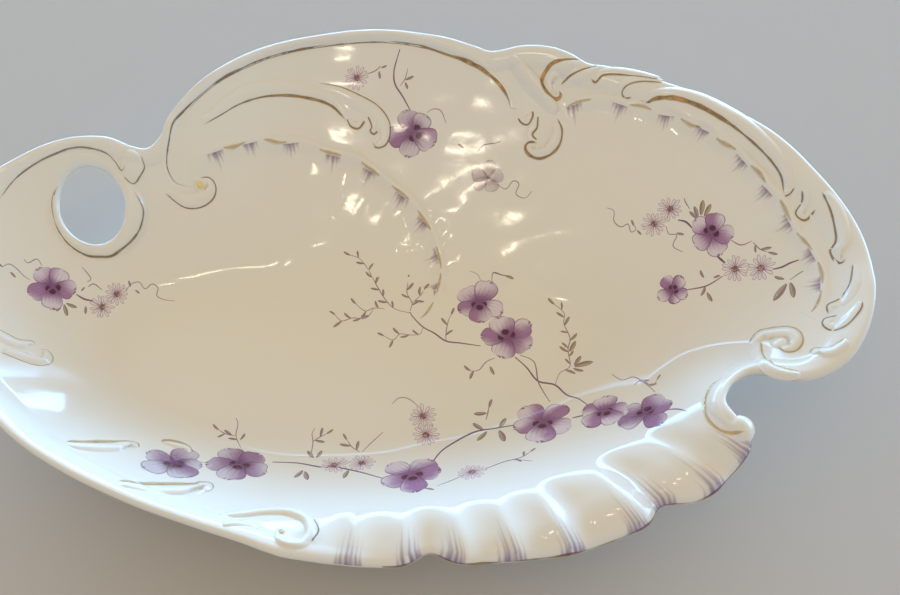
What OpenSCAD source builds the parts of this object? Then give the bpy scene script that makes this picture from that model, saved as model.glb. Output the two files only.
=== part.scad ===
// Porcelain bonbon dish with a pierced finger loop, a fluted lip, moulded scrolls and gilding.
// It stands on its foot ring: +Z is up, the loop is at -X and the fluted lip is at -Y.

/* [Overall size] */
// Length of the dish, from the looped end to the round end
dish_length = 232; // [195:1:280]
// Depth of the dish, from the fluted lip to the back rim
dish_depth = 148; // [125:1:180]
// Height of the highest point of the wall at the rim
rim_height = 39; // [33:0.5:47]

/* [Porcelain] */
// Thickness of the floor and the lower wall
wall = 3.6; // [2.8:0.1:4.6]
// Thickness of the wall where the rim is rounded over
rim_wall = 2.6; // [2:0.1:3.4]
// How far the rim bulges beyond its upper edge
rim_round = 1.2; // [0.8:0.1:1.6]
// Height of the foot ring, under the floor
foot_height = 3.5; // [2.5:0.1:6]
// Width of the foot ring
foot_width = 4; // [3:0.5:6]
// How far the foot ring stands inside the edge of the floor
foot_inset = 5; // [4:0.5:8]

/* [Fluted lip] */
// Depth of the plain flutes at the edge
flute_depth = 1.5; // [0.4:0.1:2]
// Depth of the plain scallops in the edge
scallop_depth = 0.5; // [0.2:0.1:1.2]

/* [Finger loop] */
// Width of the finger hole along the dish
hole_width = 17; // [14:0.5:21]
// Width of the finger hole across the dish
hole_depth = 17.5; // [14:0.5:20]
// Height of the roll round the hole
hole_roll = 1.4; // [0.6:0.1:2]
// Width of the roll round the hole
hole_roll_width = 4.5; // [3:0.5:5.5]
// Width of the luted seam between the loop and the body
seam = 0.15; // [0.1:0.05:0.3]

/* [Scrolls] */
// Width of a broad scroll stroke at its middle
broad_width = 3.2; // [2.4:0.1:3.8]
// Width of a fine scroll stroke at its middle
fine_width = 1.9; // [1.4:0.1:2.2]
// Height of a scroll stroke at its middle
scroll_height = 1.1; // [0.6:0.1:1.6]
// Gap between a scroll and the glazed surface under it
seat = 0.15; // [0.1:0.05:0.3]

/* [Gilding] */
// Width of a gilded line at its middle
gilt_width = 0.9; // [0.6:0.1:1.2]
// Thickness of the fired gold
gilt_thick = 0.2; // [0.1:0.05:0.3]
// Gap between the gold and the crown that it lies on
gilt_seat = 0.1; // [0.05:0.05:0.2]

/* [Hidden] */

porcelain = "Ivory";
gold = "DarkGoldenrod";

// Plan points are drawn at the size of the real dish, then stretched to dish_length and dish_depth.
// The rim runs anticlockwise from the front volute, and the first lip_spans of its spans are fluted.
lip_spans = 6;
rim_points = [[-20, -73.8], [0, -75], [20, -74.6], [40, -72], [55, -66.5], [71, -58.5],
    [80, -50], [80, -45.5], [78, -42.5], [76, -38.5], [77.5, -34.5], [80.5, -31.5],
    [84, -30], [88, -31], [94, -32.5], [101, -31], [107, -27], [112, -19],
    [115, -8], [114, 6], [108, 20], [97, 35.5], [82, 47.5], [70, 54.5],
    [57, 60], [51, 61.5], [46, 64.5], [40, 66.5], [33, 67], [25, 66],
    [20, 67.5], [10, 71], [-5, 73.5], [-20, 72], [-37, 67], [-51, 57.5],
    [-60, 48], [-65, 40.5], [-68, 38], [-72, 38], [-78, 39], [-87, 37.5],
    [-96, 34], [-106, 27.5], [-113.5, 19], [-117, 11], [-118, 3], [-116, -9], [-109, -23],
    [-98, -35], [-86, -46], [-73, -54.5], [-57, -62], [-43, -67], [-32, -70.5], [-26, -72.6]];
// The finger loop fills the rim between these two rim points
loop_from = 40;
loop_to = 45;
hole_centre = [-81.5, 23.5];

// The grid of the wall runs out from this centre, through an oval, to the rim
grid_centre = [0, 5];
grid_oval = [67, 52];
lip_columns = 8;
plain_columns = 2;
inner_rings = [0.16, 0.34, 0.48, 0.6, 0.7, 0.8, 0.9, 1];
under_rings = [0.2, 0.45, 0.7, 1];
outer_rings = [0.22, 0.42, 0.6, 0.76, 0.9, 1];

// The flat floor is an oval with its own reach to the left, right, back and front
floor_centre = [-20, -8];
floor_left = 55;
floor_right = 65;
floor_back = 18;
floor_front = 28;

// The wall, every 20 degrees round the floor from +X: its slope, how softly it leaves the floor,
// how far out it starts to turn over, and how fast it turns over
turn_step = 20;
wall_slope = [.49, .44, .45, .54, .55, .59, .68, .66, .54, .62, .70, .80, .82, .80, .80, .76, .66, .54];
wall_soft = [5, 5, 5, 5, 5, 5, 5, 5, 5, 4, 3, 2.5, 2.5, 2.5, 2.5, 2.5, 3, 4];
turn_start = [50, 50, 50, 50, 50, 50, 50, 50, 50, 50, 50, 40, 30, 25, 24, 28, 32, 36];
turn_rate = [0, 0, 0, 0, 0, 0, 0, 0, 0, 0, 0, 0, .004, .017, .034, .032, .025, .014];

// The wall swells round the notch
notch_centre = [79, -37];
notch_reach = 22;
notch_slope = .38;
notch_soft = 1.2;

// The flutes are round lobes that spread from the grid's centre: the first one's angle, the angle
// between two, how soft the valleys are, and the fade at both ends
flute_first = -96;
flute_step = 8.4;
flute_valley = 0.06;
flute_from = -103;
flute_to = -34;
flute_fade = 5;
flute_reach = 14;
// A few valleys are deeper: each one's angle, how far it draws the edge in and how deep it is
deep_valleys = [[-83.6, 3.2, 1.7], [-59.5, 0.4, 1.3], [-47.2, 3.2, 1.8]];
deep_reach = 2.8;

// Scroll strokes: each is a width and the points that it runs through
c_strokes = [[broad_width, [[-51, 29], [-54, 27], [-58, 28.5], [-61, 32], [-61.5, 38], [-59.5, 44],
    [-51, 53.5], [-37, 63], [-20, 68], [-4, 69.5], [12, 65.5], [22, 60.5], [28, 55], [30, 51]]]];
plume_strokes = [
    [broad_width, [[-53, 45], [-44, 51.5], [-32, 55.5], [-22, 55], [-16.5, 52]]],
    [broad_width, [[-23, 60], [-14, 58], [-7, 54], [-4, 49], [-5, 45]]],
    [fine_width, [[-14.5, 49.5], [-13, 48], [-11, 48.5]]],
    [fine_width, [[-10, 51.5], [-8.5, 49.5], [-8, 47]]]];
crest_strokes = [
    [broad_width, [[29.5, 62.5], [34, 58.5], [39, 51], [43, 46], [41, 40], [36, 38.5], [33.5, 41]]],
    [fine_width, [[32.5, 49], [33.5, 47], [35, 48]]],
    [broad_width, [[48, 61.5], [43, 62], [39.5, 59], [40, 55], [43, 54]]],
    [fine_width, [[53, 59.5], [48, 58.5], [45, 56.5]]]];
border_strokes = [
    [broad_width, [[69, 56], [62, 56.5], [56, 56.5], [52.5, 55.5]]],
    [fine_width, [[67, 53], [62, 53.5], [59.5, 52]]],
    [broad_width, [[66, 49.5], [75, 47.5], [84, 41.5], [92, 32.5], [96.5, 24], [97, 19.5]]],
    [fine_width, [[102, 19.5], [101.5, 15.5], [100.5, 13], [103, 11.5]]],
    [broad_width, [[106, 18], [107.5, 11], [107.5, 4], [107, 0.5]]],
    [broad_width, [[110, -3.5], [109, -8.5], [105.5, -12.5]]],
    [fine_width, [[110, -13.5], [107.5, -18], [103.5, -19.5], [102, -17.5]]],
    [fine_width, [[105, -22.5], [101, -24], [98.5, -25.5]]]];
end_strokes = [
    [broad_width, [[84.5, -20], [88, -16.5], [93, -16.5], [96.5, -19],
        [95.5, -23], [92, -23.5], [91.5, -20.5]]],
    [fine_width, [[87, -22.5], [88.5, -26.5], [93, -28.5]]]];
notch_strokes = [[broad_width, [[75, -30.5], [72.5, -35], [72, -40], [74, -43.5], [77.5, -44.5]]]];
front_strokes = [
    [broad_width, [[-29, -63.5], [-24, -62], [-19.5, -64], [-17.5, -67.5],
        [-20.5, -70.3], [-24, -69], [-22.5, -66.8]]],
    [fine_width, [[-30, -68.5], [-28, -66], [-26, -66]]]];
side_strokes = [
    [fine_width, [[-76, -46], [-66, -43.5], [-61, -42.5]]],
    [fine_width, [[-57, -41.5], [-51, -41.5], [-48, -44]]],
    [fine_width, [[-57, -58], [-48, -56], [-42, -55]]],
    [fine_width, [[-100, -12], [-95, -13.5], [-91, -13.5]]],
    [fine_width, [[-98, -19], [-91, -20.5], [-87, -18.5], [-88.5, -15.5]]]];
left_shell = [[-55, 33], [-49, 40], [-37, 44.5], [-22, 43.5], [-8, 38], [3, 29.5], [10, 17], [9, 3], [5, -1]];
right_shell = [[45.5, 52], [56, 51], [68, 46], [79, 39.5], [89, 29], [96, 17],
    [102, 4], [103, -6], [99, -14]];
shell_width = 1.5;
shell_height = scroll_height / 2;
shell_scallop = 1.1;
left_scallops = 9;
right_scallops = 9;
dab_length = 2.2;
dab_width = 1.5;
lip_line_inset = 1.3;

// Curves
function join(lists) = [for (l = lists) each l];
function mix(a, b, f) = a + (b - a) * f;
function limit(v) = min(1, max(0, v));
function ease(v) = let (f = limit(v)) f * f * (3 - 2 * f);
function blend4(p0, p1, p2, p3, f) =
    p1 + 0.5 * f * (p2 - p0 + f * (2 * p0 - 5 * p1 + 4 * p2 - p3 + f * (3 * (p1 - p2) + p3 - p0)));
function round_value(list, u) =
    let (n = len(list), i = floor(u), f = u - i)
    blend4(list[(i + n - 1) % n], list[i % n], list[(i + 1) % n], list[(i + 2) % n], f);
function open_value(list, u) =
    let (n = len(list), i = min(n - 2, floor(u)), f = u - i)
    blend4(list[max(0, i - 1)], list[i], list[i + 1], list[min(n - 1, i + 2)], f);

// The depth of the valleys between the lobes: plain ones, and the deeper ones from a column of their list
function total(list) = [for (v = list) 1] * list;
function flute_valleys(p, plain, deep) =
    let (turn = atan2(p.y - grid_centre.y, p.x - grid_centre.x),
         lobe = cos(180 * (turn - flute_first) / flute_step),
         valley = 1 - sqrt((lobe * lobe + flute_valley) / (1 + flute_valley)),
         deeper = total([for (v = deep_valleys) v[deep] * exp(-pow((turn - v[0]) / deep_reach, 2))]))
    ease((turn - flute_from) / flute_fade) * ease((flute_to - turn) / flute_fade)
    * (plain * valley + deeper);

// The wall's rise over the floor, at a plan point of the real dish
function wall_rise(p) =
    let (x = p.x - floor_centre.x, y = p.y - floor_centre.y,
         out = norm([x / (x < 0 ? floor_left : floor_right), y / (y < 0 ? floor_front : floor_back)]),
         past = out <= 1 ? 0 : norm([x, y]) * (1 - 1 / out),
         u = (atan2(y, x) + 360) % 360 / turn_step,
         slope = round_value(wall_slope, u) * past,
         soft = round_value(wall_soft, u),
         over = max(0, past - round_value(turn_start, u)),
         turn = max(0, round_value(turn_rate, u)) * over * over,
         swell = notch_slope * max(0, notch_reach - norm(p - notch_centre)))
    sqrt(slope * slope + soft * soft) - soft - turn
    + sqrt(swell * swell + notch_soft * notch_soft) - notch_soft
    - flute_valleys(p, flute_depth, 2) * ease(over / flute_reach);

// The rim: its columns, its points in plan and the stretch to the overall size
function span_columns(i) = i < lip_spans ? lip_columns : plain_columns;
function column_of(i) = i <= lip_spans ? i * lip_columns
    : lip_spans * lip_columns + (i - lip_spans) * plain_columns;
columns = [for (i = [0:len(rim_points) - 1]) for (j = [0:span_columns(i) - 1]) i + j / span_columns(i)];
column_count = len(columns);
function scalloped(p) =
    let (out = p - grid_centre)
    p - out / norm(out) * flute_valleys(p, scallop_depth, 1);
raw_rim = [for (u = columns) scalloped(round_value(rim_points, u))];
raw_low = [min([for (p = raw_rim) p.x]), min([for (p = raw_rim) p.y])];
raw_high = [max([for (p = raw_rim) p.x]), max([for (p = raw_rim) p.y])];
stretch = [dish_length / (raw_high.x - raw_low.x), dish_depth / (raw_high.y - raw_low.y)];
function placed(p) = [p.x * stretch.x, p.y * stretch.y];
function drawn(p) = [p.x / stretch.x, p.y / stretch.y];
middle = placed((raw_low + raw_high) / 2);
hole = placed(hole_centre);
floor_top = foot_height + wall;
rise_scale = (rim_height - floor_top) / max([for (p = raw_rim) wall_rise(p)]);

// The glazed surface and the underside, at a plan point
function from_hole(p) = let (w = p - hole)
    (norm([w.x / hole_width, w.y / hole_depth]) - 0.5) * (hole_width + hole_depth) / 2;
function hole_swell(p) = hole_roll * ease(1 - (from_hole(p) - rim_round) / hole_roll_width);
function top(p) = floor_top + rise_scale * wall_rise(drawn(p)) + hole_swell(p);
function steepness(p) =
    let (d = 0.4)
    norm([top(p + [d, 0]) - top(p - [d, 0]), top(p + [0, d]) - top(p - [0, d])]) / (2 * d);
function under(p, thick) = top(p) - thick * sqrt(1 + pow(steepness(p), 2));
function on_top(p, lift = 0) = [p.x, p.y, top(p) + lift];
function on_under(p, thick) = [p.x, p.y, under(p, thick)];

// Plan points of the grid's rings
rim = [for (p = raw_rim) placed(p)];
hub = placed(grid_centre);
function edge_point(c) = let (out = rim[c] - hub) rim[c] - out / norm(out) * rim_round;
function oval_point(c) =
    let (out = drawn(rim[c]) - grid_centre)
    placed(grid_centre + out / norm([out.x / grid_oval.x, out.y / grid_oval.y]));
edge = [for (c = [0:column_count - 1]) edge_point(c)];
oval = [for (c = [0:column_count - 1]) oval_point(c)];
function outer_point(c, f) = mix(oval[c], edge[c], f);
function outer_thick(f) = mix(wall, rim_wall, ease(f));
function rim_point(c) =
    [rim[c].x, rim[c].y, top(edge[c]) - rim_wall / 2];

function quad(a, b, c, d) = [[a, b, c], [a, c, d]];
function strip(a, b, from, to, size) =
    join([for (c = [from:to]) let (n = (c + 1) % size) quad(a + c, a + n, b + n, b + c)]);

// Dish body: a grid of the glazed surface and of the underside, open where the finger loop goes
gap_from = column_of(loop_from);
gap_to = column_of(loop_to);
top_rings = concat([for (f = inner_rings) [for (p = oval) on_top(mix(hub, p, f))]],
    [for (f = outer_rings) [for (c = [0:column_count - 1]) on_top(outer_point(c, f))]]);
low_rings = concat([for (f = under_rings) [for (p = oval) on_under(mix(hub, p, f), wall)]],
    [for (f = outer_rings)
        [for (c = [0:column_count - 1]) on_under(outer_point(c, f), outer_thick(f))]]);

module dish_body() {
    n = column_count;
    top_last = len(top_rings) - 1;
    low_last = len(low_rings) - 1;
    top_oval = len(inner_rings) - 1;
    low_oval = len(under_rings) - 1;
    low_start = n * (top_last + 1);
    rim_start = low_start + n * (low_last + 1);
    top_hub = rim_start + n;
    low_hub = top_hub + 1;
    points = concat(join(top_rings), join(low_rings), [for (c = [0:n - 1]) rim_point(c)],
        [on_top(hub), on_under(hub, wall)]);
    function top_at(r) = r * n;
    function low_at(r) = low_start + r * n;
    function around(a, b) = concat(strip(a, b, 0, gap_from - 1, n), strip(a, b, gap_to, n - 1, n));
    fans = join([for (c = [0:n - 1]) [[top_hub, (c + 1) % n, c],
        [low_hub, low_start + c, low_start + (c + 1) % n]]]);
    inner_faces = concat(
        join([for (r = [0:top_oval - 1]) strip(top_at(r), top_at(r + 1), 0, n - 1, n)]),
        join([for (r = [0:low_oval - 1]) strip(low_at(r + 1), low_at(r), 0, n - 1, n)]));
    outer_faces = concat(
        join([for (r = [top_oval:top_last - 1]) around(top_at(r), top_at(r + 1))]),
        join([for (r = [low_oval:low_last - 1]) around(low_at(r + 1), low_at(r))]),
        around(top_at(top_last), rim_start), around(rim_start, low_at(low_last)));
    seam_faces = strip(top_at(top_oval), low_at(low_oval), gap_from, gap_to - 1, n);
    function seam_end(c) = concat([for (r = [top_last:-1:top_oval]) top_at(r) + c],
        [for (r = [low_oval:low_last]) low_at(r) + c], [rim_start + c]);
    end_faces = [seam_end(gap_from), [for (i = [len(seam_end(gap_to)) - 1:-1:0]) seam_end(gap_to)[i]]];
    color(porcelain)
    translate([-middle.x, -middle.y, 0])
    polyhedron(points, concat(fans, inner_faces, outer_faces, seam_faces, end_faces), convexity = 8);
}

// Foot ring: an oval band under the flat of the floor
function foot_oval(inset) = [for (a = [0:5:355])
    placed(floor_centre) + [cos(a) * (stretch.x * (cos(a) < 0 ? floor_left : floor_right) - inset),
                            sin(a) * (stretch.y * (sin(a) < 0 ? floor_front : floor_back) - inset)]];
module foot_ring() {
    color(porcelain)
    translate([-middle.x, -middle.y, 0])
    linear_extrude(foot_height)
    difference() {
        polygon(foot_oval(foot_inset));
        polygon(foot_oval(foot_inset + foot_width));
    }
}

// Finger loop: the pierced part of the rim, from the seam in the body to the rolled edge of the hole
hole_rings = [0, 0.3, 0.55, 0.75, 0.9, 1];
function seam_in(p) = p + (hole - p) / norm(hole - p) * seam;
function loop_border() =
    let (last = len(outer_rings) - 1)
    concat([for (c = [gap_from:gap_to]) [c, 1]],
        [for (i = [last - 1:-1:0]) [gap_to, outer_rings[i]]],
        [for (c = [gap_to:-1:gap_from]) [c, 0]],
        [for (i = [0:last - 1]) [gap_from, outer_rings[i]]]);
function hole_edge(p, grow) =
    let (a = atan2((p.y - hole.y) / hole_depth, (p.x - hole.x) / hole_width))
    hole + [cos(a) * (hole_width / 2 + grow), sin(a) * (hole_depth / 2 + grow)];
module finger_loop() {
    border = loop_border();
    m = len(border);
    last = len(hole_rings) - 1;
    outside = [for (b = border) seam_in(outer_point(b[0], b[1]))];
    inside = [for (p = outside) hole_edge(p, rim_round)];
    function thick(i, f) = mix(outer_thick(border[i][1]), rim_wall + hole_roll, f);
    tops = [for (f = hole_rings) each [for (i = [0:m - 1]) on_top(mix(outside[i], inside[i], f))]];
    lows = [for (f = hole_rings) each [for (i = [0:m - 1])
        on_under(mix(outside[i], inside[i], f), thick(i, f))]];
    outer_mids = [for (i = [0:m - 1]) border[i][1] == 1
        ? let (r = rim_point(border[i][0]), q = seam_in([r.x, r.y])) [q.x, q.y, r.z]
        : (tops[i] + lows[i]) / 2];
    hole_mids = [for (i = [0:m - 1]) let (p = hole_edge(outside[i], 0))
        [p.x, p.y, (tops[last * m + i].z + lows[last * m + i].z) / 2]];
    low_start = len(tops);
    mid_start = low_start + len(lows);
    hole_start = mid_start + m;
    faces = concat(
        join([for (r = [0:last - 1]) strip((r + 1) * m, r * m, 0, m - 1, m)]),
        join([for (r = [0:last - 1]) strip(low_start + r * m, low_start + (r + 1) * m, 0, m - 1, m)]),
        strip(0, mid_start, 0, m - 1, m), strip(mid_start, low_start, 0, m - 1, m),
        strip(hole_start, last * m, 0, m - 1, m),
        strip(low_start + last * m, hole_start, 0, m - 1, m));
    color(porcelain)
    translate([-middle.x, -middle.y, 0])
    polyhedron(concat(tops, lows, outer_mids, hole_mids), faces, convexity = 8);
}

// Strokes: a rounded bar carried along a path on the glazed surface, thin at both ends
function swell(f) = 0.4 + 0.6 * sin(180 * f);
function along(points, n) =
    [for (i = [0:n]) placed(open_value(points, i / n * (len(points) - 1)))];
function side_way(path, i) =
    let (d = path[min(len(path) - 1, i + 1)] - path[max(0, i - 1)])
    [-d.y, d.x] / norm(d);
scroll_section = [[-1, 0], [-0.6, 0.75], [0, 1], [0.6, 0.75], [1, 0]];
gilt_section = [[-1, 0], [-1, 1], [1, 1], [1, 0]];
function stroke_points(path, section, width, height, lift) =
    let (n = len(path) - 1)
    [for (i = [0:n]) let (side = side_way(path, i), s = swell(i / n))
        for (v = section)
            let (p = path[i] + side * v[0] * width / 2 * s)
            on_top(p, lift[0] + (lift[1] + v[1] * height) * s)];
function stroke_faces(rings, m, start) = concat(
    [[for (j = [0:m - 1]) start + j]],
    [[for (j = [m - 1:-1:0]) start + (rings - 1) * m + j]],
    [for (i = [0:rings - 2]) for (j = [0:m - 1]) let (a = start + i * m, b = (j + 1) % m)
        each quad(a + j, a + m + j, a + m + b, a + b)]);
function rings_for(points) = 3 * (len(points) - 1);
module bars(paths, section, widths, height, lifts) {
    m = len(section);
    starts = [for (i = 0, total = 0; i < len(paths); total = total + m * len(paths[i]), i = i + 1) total];
    translate([-middle.x, -middle.y, 0])
    polyhedron(
        join([for (i = [0:len(paths) - 1]) stroke_points(paths[i], section, widths[i], height, lifts[i])]),
        join([for (i = [0:len(paths) - 1]) stroke_faces(len(paths[i]), m, starts[i])]), convexity = 6);
}
function stroke_paths(strokes) = [for (s = strokes) along(s[1], rings_for(s[1]))];
module scrolls(strokes) {
    color(porcelain)
    bars(stroke_paths(strokes), scroll_section, [for (s = strokes) s[0]], scroll_height,
        [for (s = strokes) [seat, 0]]);
}
module gilt(paths, width, lifts) {
    color(gold)
    bars(paths, gilt_section, [for (p = paths) width], gilt_thick, lifts);
}
crown = [seat + gilt_seat, scroll_height];
bare = [gilt_seat + seat, 0];
module gilt_on(strokes) {
    gilt(stroke_paths(strokes), gilt_width, [for (s = strokes) crown]);
}

module c_scroll() { scrolls(c_strokes); }
module plume_scroll() { scrolls(plume_strokes); }
module crest_scroll() { scrolls(crest_strokes); }
module border_scrolls() { scrolls(border_strokes); }
module end_volute() { scrolls(end_strokes); }
module notch_roll() { scrolls(notch_strokes); }
module front_volute() { scrolls(front_strokes); }
module side_scrolls() { scrolls(side_strokes); }
module c_scroll_gilding() { gilt_on(c_strokes); }
module plume_gilding() { gilt_on(plume_strokes); }
module crest_gilding() { gilt_on(crest_strokes); }
module border_gilding() { gilt_on(border_strokes); }
module end_volute_gilding() { gilt_on(end_strokes); }
module notch_gilding() { gilt_on(notch_strokes); }
module side_gilding() { gilt_on(side_strokes); }

// Loop gilding: a line between the rim and the hole, and a line round the foot of the roll
loop_line_at = 0.45;
hole_line_from = 25;
hole_line_to = -200;
hole_line_step = 15;
hole_line_gap = 2;
hole_bar = 2.5;
loop_line = [for (c = [gap_from + 1:gap_to - 2]) mix(edge[c], hole_edge(edge[c], rim_round), loop_line_at)];
hole_line = [for (a = [hole_line_from:-hole_line_step:hole_line_to])
    let (reach = rim_round + hole_line_gap + hole_bar * max(0, cos(a)))
    hole + [cos(a) * (hole_width / 2 + reach), sin(a) * (hole_depth / 2 + reach)]];
module loop_gilding() { gilt([loop_line, hole_line], gilt_width, [bare, bare]); }

// Shell edges: a scalloped bead along the edge of each shell panel
shell_rings = 4;
function shell_path(points, scallops) =
    let (n = scallops * shell_rings, line = along(points, n))
    [for (i = [0:n]) line[i] + side_way(line, i) * shell_scallop * (0.5 - abs(sin(180 * i / shell_rings)))];
module shell_edge(points, scallops) {
    color(porcelain)
    bars([shell_path(points, scallops)], scroll_section, [shell_width], shell_height, [[seat, 0]]);
}
module left_shell_edge() { shell_edge(left_shell, left_scallops); }
module right_shell_edge() { shell_edge(right_shell, right_scallops); }

// Shell edge gilding: one dab on the bead at each meeting of two scallops
function dab_path(points, scallops, i) =
    let (path = shell_path(points, scallops), at = i * shell_rings, side = side_way(path, at),
         way = [side.y, -side.x])
    [for (s = [-1:1]) path[at] + way * s * dab_length / 2];
function dab_lift(scallops, i) = [seat + gilt_seat + shell_height * swell(i / scallops), 0];
module shell_edge_gilding() {
    gilt(concat([for (i = [1:left_scallops - 1]) dab_path(left_shell, left_scallops, i)],
                [for (i = [1:right_scallops - 1]) dab_path(right_shell, right_scallops, i)]),
        dab_width,
        concat([for (i = [1:left_scallops - 1]) dab_lift(left_scallops, i)],
               [for (i = [1:right_scallops - 1]) dab_lift(right_scallops, i)]));
}

// Lip gilding: a line just inside the scalloped edge of the lip
module lip_gilding() {
    gilt([[for (c = [0:column_of(lip_spans)])
        let (out = rim[c] - hub) edge[c] - out / norm(out) * lip_line_inset]], gilt_width, [bare]);
}

dish_body();
foot_ring();
finger_loop();
c_scroll();
plume_scroll();
crest_scroll();
border_scrolls();
end_volute();
notch_roll();
front_volute();
side_scrolls();
left_shell_edge();
right_shell_edge();
loop_gilding();
c_scroll_gilding();
plume_gilding();
crest_gilding();
border_gilding();
end_volute_gilding();
notch_gilding();
side_gilding();
shell_edge_gilding();
lip_gilding();
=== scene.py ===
# %% [markdown]
# # A porcelain bonbon dish
# The real dish is one fired piece of porcelain: a shallow fluted shell with a pierced finger loop,
# moulded scrolls along its rim, fired gold on the scrolls and printed sprays of violets under a
# glossy glaze. The construction model fixes its size and the place of every scroll and gilded line.
# This lesson builds the finished surfaces around it, each one worked out with numpy as a whole array.

# %% The packed frame
import math

import bpy
import numpy as np
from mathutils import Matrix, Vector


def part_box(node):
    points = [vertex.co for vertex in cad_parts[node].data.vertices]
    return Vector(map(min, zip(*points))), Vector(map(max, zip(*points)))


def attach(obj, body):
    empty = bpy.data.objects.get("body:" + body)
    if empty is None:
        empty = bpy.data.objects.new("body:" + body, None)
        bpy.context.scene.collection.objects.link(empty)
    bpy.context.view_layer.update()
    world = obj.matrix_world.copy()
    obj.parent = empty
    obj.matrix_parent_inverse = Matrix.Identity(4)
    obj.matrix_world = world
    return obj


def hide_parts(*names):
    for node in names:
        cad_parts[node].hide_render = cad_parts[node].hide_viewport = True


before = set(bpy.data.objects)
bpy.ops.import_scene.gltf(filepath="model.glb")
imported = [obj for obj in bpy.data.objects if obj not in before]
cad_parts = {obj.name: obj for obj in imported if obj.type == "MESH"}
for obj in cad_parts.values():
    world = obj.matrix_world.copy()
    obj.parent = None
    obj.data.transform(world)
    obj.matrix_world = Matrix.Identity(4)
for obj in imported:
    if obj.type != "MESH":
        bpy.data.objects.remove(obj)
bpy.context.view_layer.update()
MILLIMETRES = 1000
body_low, body_high = (np.array(corner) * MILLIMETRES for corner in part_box("dish_body"))
foot_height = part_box("foot_ring")[1].z * MILLIMETRES
print("construction nodes", len(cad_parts))
print("dish", np.round(body_high - body_low, 1), "mm, foot", round(foot_height, 2), "mm")

# %% [markdown]
# ## Curves through listed points
# The rim and the strokes are free curves, so each is a short list of points and a smooth cubic
# curve that runs through them. A spline object would do it too, but a function on arrays can be sampled
# anywhere, which the surfaces below need.

# %% Curve helpers
SAMPLES_A_SPAN, FEWEST_POINTS = 24, 4


def ease(v):
    """Smooth step from 0 to 1: 3v^2 - 2v^3 on the clipped value."""
    v = np.clip(v, 0, 1)
    return v * v * (3 - 2 * v)


def through(points, u, closed=False):
    """Cubic curve through the points, one unit of u from each point to the next."""
    points = np.asarray(points, float)
    count = len(points)
    first = np.floor(u).astype(int) if closed else np.clip(np.floor(u).astype(int), 0, count - 2)
    f = np.asarray(u - first)
    f = f[..., None] if points.ndim > 1 else f
    steps = [first + step for step in (-1, 0, 1, 2)]
    a, b, c, d = (points[i % count if closed else np.clip(i, 0, count - 1)] for i in steps)
    return b + 0.5 * f * (c - a + f * (2 * a - 5 * b + 4 * c - d + f * (3 * (b - c) + d - a)))


def run_of(line):
    """Length along a path at each of its points."""
    return np.concatenate([[0], np.cumsum(np.linalg.norm(np.diff(line, axis=0), axis=1))])


def read_off(line, marks, at):
    """Points of a path where its marks, which grow from point to point, reach the given values."""
    return np.stack([np.interp(at, marks, column) for column in line.T], 1)


def evenly(line, count):
    """The line's points again, at count equal steps of its length."""
    run = run_of(line)
    return read_off(line, run, np.linspace(0, run[-1], count))


def stroke_line(points, step):
    """A smooth path through the points, sampled about every step millimetres."""
    dense = through(points, np.linspace(0, len(points) - 1, SAMPLES_A_SPAN * len(points)))
    return evenly(dense, max(FEWEST_POINTS, int(run_of(dense)[-1] / step) + 2))


def unit(ways):
    """Directions over their own lengths."""
    return ways / np.linalg.norm(ways, axis=-1, keepdims=True)


def sideways(line):
    """Unit vectors to the left of a path in plan."""
    way = np.gradient(line, axis=0)
    return unit(np.stack([-way[:, 1], way[:, 0]], 1))


def turn_of(way):
    """Angle of directions in plan, anticlockwise from x, in radians."""
    return np.arctan2(way[..., 1], way[..., 0])


def end_fade(share, start, stop):
    """Along a path: an eased rise from 0 over the first part, and an eased fall to 0 over the last."""
    return ease(share / start) * ease((1 - share) / stop)


print("an eased step is", ease(0.25), "high at a quarter of its way")

# %% [markdown]
# ## The rim in plan
# The potter's mould gives the dish its free outline. A curve object could hold it, but the later steps
# ask for the rim at any place, so it is a list of points in millimetres, anticlockwise from the front
# volute.

# %% Rim points
RIM = [(-20, -73.8), (0, -75), (20, -74.6), (40, -72), (55, -66.5), (71, -58.5), (80, -50), (80, -45.5),
       (78, -42.5), (76, -38.5), (77.5, -34.5), (80.5, -31.5), (84, -30), (88, -31), (94, -32.5),
       (101, -31), (107, -27), (112, -19), (115, -8), (114, 6), (108, 20), (97, 35.5), (82, 47.5),
       (70, 54.5), (57, 60), (51, 61.5), (46, 64.5), (40, 66.5), (33, 67), (25, 66), (20, 67.5),
       (10, 71), (-5, 73.5), (-20, 72), (-37, 67), (-51, 57.5), (-60, 48), (-65, 40.5), (-68, 38),
       (-72, 38), (-78, 39), (-87, 37.5), (-96, 34), (-106, 27.5), (-113.5, 19), (-117, 11),
       (-118, 3), (-116, -9), (-109, -23), (-98, -35), (-86, -46), (-73, -54.5), (-57, -62),
       (-43, -67), (-32, -70.5), (-26, -72.6)]
HUB = np.array([0, 5])
print("rim points", len(RIM))

# %% [markdown]
# The lip at the front is pressed into flutes, with three deeper ones among them. A wave modifier would
# space them evenly. The real ones aren't even, so the valleys lie between ridges at listed angles.

# %% Flutes of the lip
SCALLOP_DEPTH, FLUTE_DEPTH = 0.5, 1.5
# Angles about the hub, in degrees: the ridges of the flutes, and where the flutes fade out
FLUTE_RIDGES = [-108, -101.2, -95.6, -87.6, -78.2, -70.6, -63, -52.2, -40.3, -34.5, -28]
RIDGE_ROUND, FLUTE_FROM, FLUTE_TO, FLUTE_FADE = 0.12, -103, -34, 5
# Deeper valleys: angle, how far the edge is drawn in and how deep the flute is, in millimetres
DEEP_VALLEYS, DEEP_REACH = [(-83.6, 3.2, 1.7), (-59.5, 0.4, 1.3), (-47.2, 3.2, 1.8)], 2.8


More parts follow.
